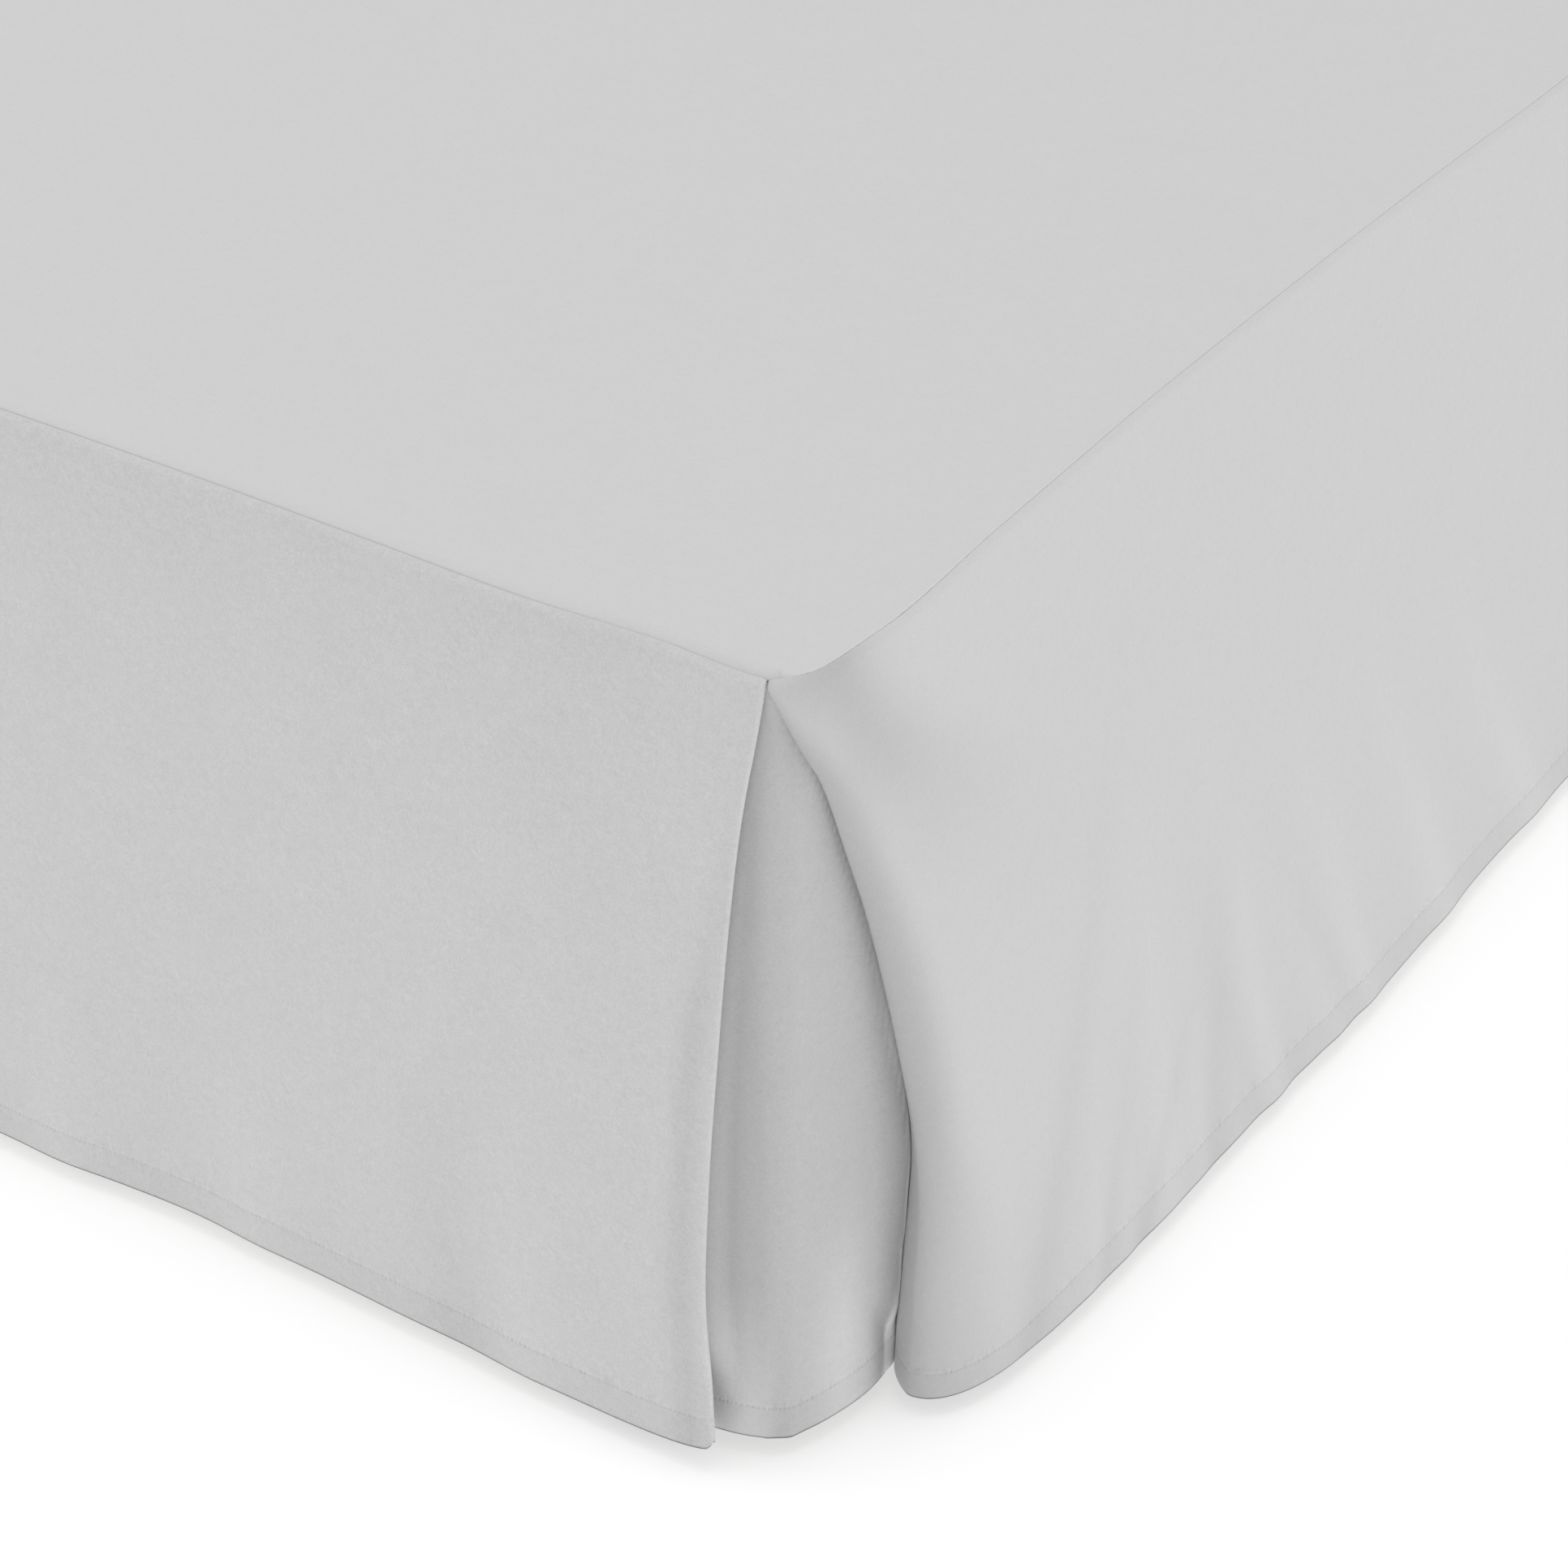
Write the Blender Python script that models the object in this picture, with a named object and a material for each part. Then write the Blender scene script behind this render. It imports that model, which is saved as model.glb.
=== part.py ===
"""A tailored bed skirt hanging on a plain bed base: deck panel, three drops and two open corner pleats.

Metres, +Z up. The origin is on the floor, under the middle of the whole; the foot end faces -Y and the
head end, which has no drop, faces +Y. Tables give lengths in millimetres.
"""

import math

import bmesh
import bpy
import numpy as np

MM = 0.001

# The bed the skirt is cut for, and the height its deck lies at.
DECK_WIDTH = 1.524
DECK_LENGTH = 2.032
DECK_HEIGHT = 0.390
DECK_CORNER = 0.015
HEM_HEIGHT = 0.010

# Cloth: its thickness, the turned hem, and the room between sewn pieces and between folded layers.
CLOTH = 0.0012
HEM_DEPTH = 0.018
HEM_CLOTH = 0.0016
SEAM_GAP = 0.0003
ROLL_START = 0.0006
ROLL_OUT = 0.0042
LAYER_OUT = 0.0014
PINCH = 0.012

# The flares at the hem, and how early each drop swings out on its way down.
FOOT_SWING = 1.2
SIDE_SWING = 1.1
UNDERLAY_SWING = 1.4
CREASE_SWING = 1.5

# The box spring and its legs.
BASE_INSET = 0.007
BASE_CORNER = 0.034
BASE_EDGE = 0.008
BASE_DEPTH = 0.214
BASE_EDGE_STEPS = 3
BASE_CORNER_STEPS = 8
LEG_RADIUS = 0.024
LEG_FACETS = 20
LEG_INSET = 0.110
LEG_ROWS = {"foot": -1, "middle": 0, "head": 1}

# Grid of a drop. ROWS runs from the foot of the roll, 0, to the hem, 1. Columns crowd towards the pleat.
ROLL_ROWS = 3
HEM_TOP = 1 - HEM_DEPTH / (DECK_HEIGHT - HEM_HEIGHT)
ROWS = (0.035, 0.08, 0.15, 0.28, 0.45, 0.65, 0.84, HEM_TOP, 1.0)
FAN_END = 0.160
FAN_COLUMNS = 10
FAN_CROWDING = 2.1
RETURN_COLUMNS = 7
RETURN_CROWDING = 2.0
SIDE_COLUMNS = 54
SIDE_CROWDING = 1.25
FOOT_COLUMNS = 16
FOOT_CROWDING = 1.05
UNDERLAY_COLUMNS = 19

# Edges turning by more than this stay sharp when the rest is shaded smooth.
SHARP_ANGLE = math.radians(40)
BEVEL_ANGLE = math.radians(60)

CLOTH_GREY = (0.62, 0.62, 0.62)
TICKING_WHITE = (0.78, 0.77, 0.74)
LEG_BROWN = (0.16, 0.10, 0.06)

SIDES = {"right": 1, "left": -1}

# Pleat folds, read down the drop. fold_at is how far the fold lies from the corner's middle along the
# seam, fold_out and back_out how far the fold and the return behind it stand out of their layers, and
# front_ease and back_ease how gently the cloth turns into the drop and into the return.
SIDE_FOLD = (
    ("down", "fold_at", "fold_out", "back_out", "front_ease", "back_ease"),
    (0.00, -3.2, 0.0, 0.0, 0.7, 0.7),
    (0.07, 4.8, 0.5, 0.1, 3.0, 1.0),
    (0.18, 22.8, 2.0, 0.3, 9.0, 2.5),
    (0.30, 37.8, 4.0, 0.6, 14.0, 4.5),
    (0.42, 48.3, 6.5, 1.0, 19.0, 6.5),
    (0.55, 56.8, 9.0, 1.4, 25.0, 9.0),
    (0.70, 64.8, 12.0, 2.0, 31.0, 9.0),
    (1.00, 60.8, 17.2, 3.2, 36.0, 11.0),
)
FOOT_FOLD = (
    ("down", "fold_at", "fold_out", "back_out", "front_ease", "back_ease"),
    (0.00, 5.8, 0.0, 0.0, 0.7, 0.7),
    (0.07, 9.2, 0.5, 0.4, 0.7, 0.7),
    (0.18, 15.3, 1.7, 1.5, 0.8, 0.7),
    (0.30, 19.8, 3.1, 2.8, 0.8, 0.8),
    (0.45, 23.8, 5.0, 4.5, 0.9, 0.8),
    (0.65, 27.8, 7.8, 6.9, 1.0, 0.9),
    (0.80, 28.4, 9.8, 8.4, 1.2, 1.0),
    (0.91, 25.0, 10.8, 8.6, 1.8, 1.6),
    (1.00, 23.8, 11.0, 7.6, 3.0, 3.0),
)
SIDE_CREASE = {"at": 0.0771, "out": 0.0023}
FOOT_CREASE = {"at": 0.0928, "out": 0.0}

# How far each hem stands out of the seam line, against the distance from the corner's middle.
SIDE_HEM = (
    ("at", "out"),
    (60, 51.5),
    (200, 51.0),
    (320, 49.5),
    (430, 50.0),
    (570, 44.5),
    (660, 43.0),
    (820, 46.0),
    (1000, 50.0),
    (1250, 45.5),
    (1500, 49.5),
    (1750, 44.5),
    (2030, 46.5),
)
FOOT_HEM = (
    ("at", "out"),
    (20, 15.5),
    (48, 16.5),
    (97, 16.5),
    (160, 14.5),
    (235, 11.5),
    (310, 9.0),
    (380, 12.5),
    (425, 13.0),
    (560, 10.5),
    (680, 13.0),
    (762, 11.0),
)
UNDERLAY_HEM = (
    ("at", "out"),
    (-93, -1.5),
    (-50, -1.0),
    (-35, -1.5),
    (-20, -4.8),
    (-12, -7.9),
    (3, -8.9),
    (15, -5.2),
    (25, -1.6),
    (34, 0.7),
    (44, 2.7),
    (54, 4.2),
    (66, 3.6),
    (77, 1.7),
)

# How far the seam line strays from straight, against the distance from the corner's middle.
SEAM_STRAY = (
    ("at", "out"),
    (0, 0.0),
    (20, 0.0),
    (51, -1.4),
    (115, 1.5),
    (190, 0.0),
    (275, -1.5),
    (400, -1.2),
    (530, -0.6),
    (630, 1.5),
    (760, 0.4),
    (1000, -1.2),
    (1300, 1.2),
    (1600, -1.4),
    (1850, 1.0),
    (2035, 0.0),
)

# Soft ripples of the drops: where each meets the hem, how far its top lies back towards the corner, how
# far down it starts, and its height and half width at the hem.
SIDE_RIPPLES = (
    ("hem_at", "slant", "start", "height", "width"),
    (163, 70, 0.55, 1.6, 15),
    (228, 25, 0.30, 2.6, 18),
    (329, 62, 0.30, 3.2, 17),
    (414, 130, 0.40, 3.2, 19),
    (511, 150, 0.40, 3.0, 19),
    (616, 190, 0.40, 3.2, 21),
    (704, 120, 0.45, 2.2, 22),
    (812, 60, 0.40, 2.8, 21),
    (905, -40, 0.50, 2.0, 24),
    (1015, 30, 0.45, 2.6, 23),
    (1130, 90, 0.50, 1.8, 26),
    (1262, -70, 0.40, 2.8, 23),
    (1370, 40, 0.50, 2.0, 24),
    (1498, -110, 0.45, 2.4, 22),
    (1610, -50, 0.50, 2.2, 24),
    (1745, -90, 0.40, 3.0, 23),
    (1860, 40, 0.50, 1.8, 21),
    (1950, -60, 0.50, 2.2, 20),
)
FOOT_RIPPLES = (
    ("hem_at", "slant", "start", "height", "width"),
    (118, -35, 0.60, 1.2, 18),
    (155, -25, 0.50, -1.2, 20),
    (272, 8, 0.60, 1.2, 22),
    (384, 20, 0.65, 1.2, 20),
    (470, 30, 0.55, -1.3, 26),
    (590, -20, 0.60, 1.4, 26),
    (700, 30, 0.60, -1.2, 28),
)
LEFT_SHIFT = 0.038
LEFT_HEIGHT = 0.85

HALF_ARC = DECK_CORNER * math.pi / 4
SIDE_RUN = DECK_LENGTH - DECK_CORNER + HALF_ARC
FOOT_RUN = DECK_WIDTH / 2 - DECK_CORNER + HALF_ARC
FOOT_REACH = max(out for _, out in FOOT_HEM[1:]) * MM + HEM_CLOTH / 2
FOOT_Y = -(DECK_LENGTH - FOOT_REACH) / 2
HEAD_Y = FOOT_Y + DECK_LENGTH


def column(table, name):
    """One named column of a table."""
    header, *rows = table
    place = header.index(name)
    return np.array([row[place] for row in rows], float)


def smooth(x, xs, ys):
    """A smooth line through the points (xs, ys), read at x: a cubic between each two of them."""
    slopes = np.gradient(ys, xs)
    x = np.clip(x, xs[0], xs[-1])
    low = np.clip(np.searchsorted(xs, x, side="right") - 1, 0, len(xs) - 2)
    span = xs[low + 1] - xs[low]
    f = (x - xs[low]) / span
    ends = (1 + 2 * f) * (1 - f) ** 2 * ys[low] + f**2 * (3 - 2 * f) * ys[low + 1]
    return ends + span * (f * (1 - f) ** 2 * slopes[low] - f**2 * (1 - f) * slopes[low + 1])


def read(table, key, name, x):
    """A column of a table in millimetres, read in metres at x along its key column, which is in x's unit."""
    return smooth(x, column(table, key), column(table, name)) * MM


def on_seam(along, out, side):
    """Plan points `along` the seam from a foot corner's middle and `out` of it.

    A negative distance runs along the foot, a positive one up the side; between them lies the corner's
    quarter circle. side is 1 for the right corner and -1 for the left.
    """
    turn = np.clip((along + HALF_ARC) / DECK_CORNER, 0, math.pi / 2)
    past_foot = np.minimum(along + HALF_ARC, 0)
    past_side = np.maximum(along - HALF_ARC, 0)
    x = DECK_WIDTH / 2 - DECK_CORNER + (DECK_CORNER + out) * np.sin(turn) + past_foot
    y = FOOT_Y + DECK_CORNER - (DECK_CORNER + out) * np.cos(turn) + past_side
    return side * x, y


def stray(along):
    """How far the seam lies out of its straight line."""
    return read(SEAM_STRAY, "at", "out", np.abs(along) / MM)


def ripples(table, at, down, shift=0.0, scale=1.0):
    """The soft ripples at a distance from the corner and a share of the way down: slanting bell ridges."""
    total = np.zeros(np.broadcast(at, down).shape)
    for hem_at, slant, start, height, width in table[1:]:
        middle = hem_at * MM + shift - slant * MM * (1 - down)
        grown = np.clip((down - start) / (1 - start), 0, 1) ** 1.5
        total += scale * height * MM * grown * np.exp(-(((at - middle) / (width * MM)) ** 2))
    return total


def rolled_rows(reach):
    """A cloth's way out of the seam and its height, row by row, where it rolls over the deck's edge.

    The roll is a quarter circle that ends `reach` out of the seam; from there the cloth falls to the hem.
    """
    quarter = np.linspace(0, math.pi / 2, ROLL_ROWS)
    radius = reach - ROLL_START
    roll_end = DECK_HEIGHT - CLOTH / 2 - (ROLL_OUT - ROLL_START)
    out = np.concatenate([ROLL_START + radius * np.sin(quarter), np.full(len(ROWS), reach)])
    fall = roll_end - np.array(ROWS) * (roll_end - HEM_HEIGHT)
    return out, np.concatenate([roll_end + radius * np.cos(quarter), fall])


def rows_down():
    """Each row's share of the way from the foot of the roll to the hem."""
    return np.concatenate([np.zeros(ROLL_ROWS), ROWS])


def half_cloth():
    """Half the cloth's thickness, row by row: more in the turned hem."""
    half = np.full(ROLL_ROWS + len(ROWS), CLOTH / 2)
    half[-2:] = HEM_CLOTH / 2
    return half


def fan_columns(fold_at):
    """Where a drop's first columns stand in each row: spread from the pleat's fold to the fan's end."""
    share = np.linspace(0, 1, FAN_COLUMNS + 1)[1:, None] ** FAN_CROWDING
    return fold_at + (FAN_END - fold_at) * share


def side_columns():
    """Where the rest of a side drop's columns stand, up to the head."""
    return spread_columns(SIDE_RUN, SIDE_COLUMNS, SIDE_CROWDING)


def foot_columns():
    """Where the rest of the columns of half the foot drop stand, up to its middle."""
    return spread_columns(FOOT_RUN, FOOT_COLUMNS, FOOT_CROWDING)


def spread_columns(run, count, crowding):
    """`count` columns from the fan's end to `run`, crowding towards the pleat."""
    share = np.linspace(0, 1, count + 1)[1:, None] ** crowding
    return FAN_END + (run - FAN_END) * share


def pleated_drop(fold, crease, columns, lean):
    """Half a drop, from the pleat's inner crease round its fold and on over its columns.

    Returns the distance along the seam, the distance out of it and the height on a grid of columns by
    rows. From the fold, the cloth leaves like a parabola on both sides and settles on its own layer.
    """
    down = rows_down()
    outer_out, outer_height = rolled_rows(ROLL_OUT)
    inner_out, inner_height = rolled_rows(LAYER_OUT)
    fold_at = read(fold, "down", "fold_at", down)
    fold_out = (outer_out + inner_out) / 2 + read(fold, "down", "fold_out", down)
    crease_out = crease["out"] * down**CREASE_SWING

    share = np.linspace(1, 0, RETURN_COLUMNS + 1)[:, None] ** RETURN_CROWDING
    back_along = fold_at + (crease["at"] - fold_at) * share
    start = inner_out + read(fold, "down", "back_out", down)
    layer = start + (inner_out + crease_out - start) * share
    settled_back = settle(back_along - fold_at, fold, "back_ease", down)
    back_out = fold_out + (layer - fold_out) * settled_back

    front_along = np.concatenate([fan_columns(fold_at), columns + 0 * down])
    settled = settle(front_along - fold_at, fold, "front_ease", down)
    front_out = fold_out + (outer_out + lean(front_along, down) - fold_out) * settled

    along = np.concatenate([back_along, front_along])
    out = np.concatenate([back_out, front_out]) + stray(along) * (1 - down)
    outer = np.concatenate([(1 - settled_back) / 2, (1 + settled) / 2])
    return along, out, inner_height + (outer_height - inner_height) * outer


def settle(past_fold, fold, name, down):
    """How much of the way from the fold to its own layer the cloth has come, `past_fold` from the fold."""
    return np.sqrt(1 - np.exp(-past_fold / read(fold, "down", name, down)))


def leaning(hem_table, swing, ripple_table, side_name):
    """A drop's lean: a function of the distance along the seam and the share of the way down.

    The cloth swings out along a slow curve to its hem's distance and carries its ripples. On the left
    they are shifted and lower, so that the two sides are not a mirror of each other.
    """
    shift, scale = (0.0, 1.0) if side_name == "right" else (LEFT_SHIFT, LEFT_HEIGHT)

    def lean(along, down):
        hem = read(hem_table, "at", "out", along / MM) - ROLL_OUT
        return hem * down**swing + ripples(ripple_table, along, down, shift, scale)

    return lean


def grid_points(along, out, height, side):
    """Seam coordinates and heights as points in space, on the right corner or on the left one."""
    x, y = on_seam(along, out, side)
    return np.stack([x, y, height], axis=-1)


def side_drop_grid(side_name):
    """A side drop, from its pleat's inner crease to the head."""
    lean = leaning(SIDE_HEM, SIDE_SWING, SIDE_RIPPLES, side_name)
    along, out, height = pleated_drop(SIDE_FOLD, SIDE_CREASE, side_columns(), lean)
    return grid_points(along, out, height, SIDES[side_name])


def foot_drop_grid():
    """Both halves of the foot drop, joined at its middle column."""
    halves = []
    for side_name, side in SIDES.items():
        lean = leaning(FOOT_HEM, FOOT_SWING, FOOT_RIPPLES, side_name)
        along, out, height = pleated_drop(FOOT_FOLD, FOOT_CREASE, foot_columns(), lean)
        halves.append(grid_points(-along, out, height, side))
    right, left = halves
    right[-1] = (right[-1] + left[-1]) / 2
    return np.concatenate([right, left[-2::-1]])


def underlay_grid(side_name):
    """The piece behind an open pleat: it hangs from the seam round the corner, from crease to crease.

    It starts below the roll, and near each crease it closes on the return that it is sewn to.
    """
    down = rows_down()[ROLL_ROWS - 1 :]
    half = half_cloth()[ROLL_ROWS - 1 :]
    height = rolled_rows(LAYER_OUT)[1][ROLL_ROWS - 1 :]
    along = np.linspace(-FOOT_CREASE["at"], SIDE_CREASE["at"], UNDERLAY_COLUMNS)[:, None] + 0 * down
    hem = read(UNDERLAY_HEM, "at", "out", along / MM)
    out = -LAYER_OUT + (hem + LAYER_OUT) * down**UNDERLAY_SWING
    for crease, sign in ((FOOT_CREASE, -1), (SIDE_CREASE, 1)):
        seam_tight = LAYER_OUT + crease["out"] * down**CREASE_SWING - 2 * half - SEAM_GAP
        near = np.clip(1 - (crease["at"] - sign * along) / PINCH, 0, 1)
        out += (seam_tight - out) * near
    out += stray(along) * (1 - down)
    return grid_points(along, out, height + 0 * along, SIDES[side_name])


def cloth_mesh(name, grid):
    """A closed sheet: the grid pushed half its thickness out to each side, and a rim round it."""
    half = half_cloth()[-grid.shape[1] :]
    across = np.gradient(grid, axis=0)
    down = np.gradient(grid, axis=1)
    normal = np.cross(across, down)
    normal /= np.linalg.norm(normal, axis=-1, keepdims=True)
    columns, rows = grid.shape[:2]
    faces_of = np.arange(columns * rows).reshape(columns, rows)
    points = np.concatenate([grid + normal * half[:, None], grid - normal * half[:, None]])
    a, b = faces_of[:-1, :-1].ravel(), faces_of[1:, :-1].ravel()
    c, d = faces_of[1:, 1:].ravel(), faces_of[:-1, 1:].ravel()
    back = columns * rows
    front_faces = np.concatenate([np.stack([a, b, c], axis=1), np.stack([a, c, d], axis=1)])
    back_faces = front_faces[:, ::-1] + back
    rim = np.concatenate(
        [faces_of[:, 0], faces_of[-1, 1:], faces_of[-2::-1, -1], faces_of[0, -2:0:-1]]
    )
    next_on_rim = np.roll(rim, -1)
    rim_faces = np.stack([next_on_rim, rim, rim + back, next_on_rim + back], axis=1)
    mesh = bpy.data.meshes.new(name)
    faces = [*front_faces.tolist(), *back_faces.tolist(), *rim_faces.tolist()]
    mesh.from_pydata(points.reshape(-1, 3).tolist(), [], faces)
    face_outwards(mesh)
    return mesh


def face_outwards(mesh):
    """Turns a closed mesh's faces to point out of it."""
    shell = bmesh.new()
    shell.from_mesh(mesh)
    bmesh.ops.recalc_face_normals(shell, faces=shell.faces)
    if shell.calc_volume(signed=True) < 0:
        bmesh.ops.reverse_faces(shell, faces=shell.faces)
    shell.to_mesh(mesh)
    shell.free()


def prism_mesh(name, outline, low, high):
    """A flat slab: an outline in plan between two heights."""
    mesh = bpy.data.meshes.new(name)
    shell = bmesh.new()
    bottom = shell.faces.new([shell.verts.new((x, y, low)) for x, y in outline])
    raised = bmesh.ops.extrude_face_region(shell, geom=[bottom])
    top = [item for item in raised["geom"] if isinstance(item, bmesh.types.BMVert)]
    bmesh.ops.translate(shell, verts=top, vec=(0, 0, high - low))
    bmesh.ops.recalc_face_normals(shell, faces=shell.faces)
    shell.to_mesh(mesh)
    shell.free()
    return mesh


def matte(name, colour, roughness):
    """A plain material."""
    material = bpy.data.materials.new(name)
    material.use_nodes = True
    shader = material.node_tree.nodes["Principled BSDF"]
    shader.inputs["Base Color"].default_value = (*colour, 1.0)
    shader.inputs["Roughness"].default_value = roughness
    return material


def add_part(name, mesh, material, location=(0, 0, 0)):
    """One solid in the scene, with its material."""
    part = bpy.data.objects.new(name, mesh)
    part.location = location
    if not mesh.materials:
        mesh.materials.append(material)
    bpy.context.scene.collection.objects.link(part)
    return part


def shade_round(mesh):
    """Smooth shading that keeps real edges."""
    mesh.shade_smooth()
    mesh.set_sharp_from_angle(angle=SHARP_ANGLE)


def add_cloth(name, grid, material):
    """A sewn piece, from the grid of its middle surface."""
    mesh = cloth_mesh(name, grid)
    shade_round(mesh)
    add_part(name, mesh, material)


def deck_outline():
    """The seam line, with its strays, from the head's right end round the foot to its left end.

    Its points are those of the drops' own columns at the top, so that the edges run side by side.
    """
    side_start = read(SIDE_FOLD, "down", "fold_at", 0.0)
    foot_start = read(FOOT_FOLD, "down", "fold_at", 0.0)
    side = np.concatenate([fan_columns(side_start), side_columns()])[::-1, 0]
    foot = -np.concatenate([fan_columns(foot_start), foot_columns()])[:, 0]
    along = np.concatenate([side, foot])
    right = np.stack(on_seam(along, stray(along), 1), axis=-1)
    left = right[-2::-1] * (-1, 1)
    return np.concatenate([right, left])


def add_deck(material):
    """The flat panel under the mattress, to whose edge the drops are sewn."""
    mesh = prism_mesh("deck_panel", deck_outline(), DECK_HEIGHT - CLOTH, DECK_HEIGHT)
    add_part("deck_panel", mesh, material)


def add_drops(material):
    """The three hanging panels: one across the foot and one down each side."""
    add_cloth("foot_drop", foot_drop_grid(), material)
    for side_name in SIDES:
        add_cloth(f"side_drop_{side_name}", side_drop_grid(side_name), material)


def add_underlays(material):
    """The piece behind each corner's pleat."""
    for side_name in SIDES:
        add_cloth(f"pleat_underlay_{side_name}", underlay_grid(side_name), material)


def base_outline():
    """The box spring in plan: a rectangle inside the seam line, with round corners."""
    half_width = DECK_WIDTH / 2 - BASE_INSET
    half_length = DECK_LENGTH / 2 - BASE_INSET
    points = []
    for quarter, (x_sign, y_sign) in enumerate(((1, 1), (-1, 1), (-1, -1), (1, -1))):
        centre_x = x_sign * (half_width - BASE_CORNER)
        centre_y = y_sign * (half_length - BASE_CORNER) + (FOOT_Y + HEAD_Y) / 2
        for step in range(BASE_CORNER_STEPS + 1):
            angle = (quarter + step / BASE_CORNER_STEPS) * math.pi / 2
            x = centre_x + BASE_CORNER * math.cos(angle)
            y = centre_y + BASE_CORNER * math.sin(angle)
            points.append((x, y))
    return points


def add_box_spring(material):
    """The upholstered box that the deck lies on."""
    top = DECK_HEIGHT - CLOTH - SEAM_GAP
    mesh = prism_mesh("box_spring", base_outline(), top - BASE_DEPTH, top)
    part = add_part("box_spring", mesh, material)
    edge = part.modifiers.new("rounded edges", "BEVEL")
    edge.width = BASE_EDGE
    edge.segments = BASE_EDGE_STEPS
    edge.limit_method = "ANGLE"
    edge.angle_limit = BEVEL_ANGLE
    shade_round(mesh)


def add_legs(material):
    """Three round legs under each long side, from the floor to the box spring."""
    length = DECK_HEIGHT - CLOTH - SEAM_GAP - BASE_DEPTH - SEAM_GAP
    mesh = bpy.data.meshes.new("leg")
    shell = bmesh.new()
    bmesh.ops.create_cone(
        shell,
        cap_ends=True,
        segments=LEG_FACETS,
        radius1=LEG_RADIUS,
        radius2=LEG_RADIUS,
        depth=length,
    )
    bmesh.ops.translate(shell, verts=shell.verts, vec=(0, 0, length / 2))
    shell.to_mesh(mesh)
    shell.free()
    shade_round(mesh)
    middle_y = (FOOT_Y + HEAD_Y) / 2
    for side_name, side in SIDES.items():
        for row_name, row in LEG_ROWS.items():
            x = side * (DECK_WIDTH / 2 - LEG_INSET)
            y = middle_y + row * (DECK_LENGTH / 2 - LEG_INSET)
            add_part(f"leg_{row_name}_{side_name}", mesh, material, (x, y, 0))


def main():
    """Clears the scene and builds every piece."""
    for stale in list(bpy.data.objects):
        bpy.data.objects.remove(stale, do_unlink=True)
    skirt_cloth = matte("skirt_cloth", CLOTH_GREY, 0.9)
    ticking = matte("base_ticking", TICKING_WHITE, 0.9)
    leg_wood = matte("leg_wood", LEG_BROWN, 0.5)
    add_deck(skirt_cloth)
    add_drops(skirt_cloth)
    add_underlays(skirt_cloth)
    add_box_spring(ticking)
    add_legs(leg_wood)


main()
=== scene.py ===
"""The looks of a tailored bed skirt on its bed base: brushed cloth with turned hems, seams, open corner
pleats and soft hanging folds, a covered box spring on wooden legs, and a plain light studio.

Metres, +Z up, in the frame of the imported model. Tables give lengths in millimetres.
"""

import math

import bpy
import numpy as np
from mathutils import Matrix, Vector


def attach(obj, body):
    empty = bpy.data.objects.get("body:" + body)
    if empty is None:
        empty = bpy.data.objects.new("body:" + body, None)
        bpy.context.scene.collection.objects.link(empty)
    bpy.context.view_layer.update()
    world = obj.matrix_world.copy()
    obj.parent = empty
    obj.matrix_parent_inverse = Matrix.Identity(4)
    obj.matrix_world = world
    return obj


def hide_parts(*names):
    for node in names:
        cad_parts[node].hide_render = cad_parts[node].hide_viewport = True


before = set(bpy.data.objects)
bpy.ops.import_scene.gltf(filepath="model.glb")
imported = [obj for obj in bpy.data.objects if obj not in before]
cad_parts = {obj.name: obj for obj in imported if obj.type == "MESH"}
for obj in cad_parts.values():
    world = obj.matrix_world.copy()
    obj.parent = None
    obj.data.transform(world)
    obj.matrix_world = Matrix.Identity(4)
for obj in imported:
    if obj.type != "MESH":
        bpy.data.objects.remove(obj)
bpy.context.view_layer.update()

MM = 0.001
EXPONENT_LIMIT = 50
TINY = 1e-9

# The skirt, in the sizes of its solids.
DECK_WIDTH = 1.524
DECK_LENGTH = 2.032
DECK_HEIGHT = 0.390
DECK_CORNER = 0.015
HEM_HEIGHT = 0.010
FOOT_REACH = 0.0173
ROLL_OUT = 0.0042
LAYER_OUT = 0.0014

# How each lean, the way out of a crease and the soft ridges grow towards the hem: with the share of the
# way down to these powers.
FOOT_SWING = 1.2
SIDE_SWING = 1.1
UNDERLAY_SWING = 1.4
CREASE_SWING = 1.5
RIPPLE_SWING = 1.5

# The cloth as it looks: half its thickness, the turned hem, which is thicker and most of all behind, the
# line that its stitches sink, its round bottom edge, and the lip where a drop leaves the seam.
HALF_CLOTH = 0.00035
HEM_DEPTH = 0.0168
HEM_FRONT = 0.00045
HEM_BACK = 0.00085
HEM_STEP = 0.0004
STITCH_SINK = 0.00007
STITCH_SINK_REACH = 0.0006
EDGE_ROUND = 0.0011
EDGE_LEAST = 0.06
ROLL_START = 0.0012
LIP_SHARE = 0.22

# Where a drop's roll ends and its fall begins, and the length of that fall.
ROLL_END = DECK_HEIGHT - HALF_CLOTH - (ROLL_OUT - ROLL_START)
FALL = ROLL_END - HEM_HEIGHT

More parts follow.
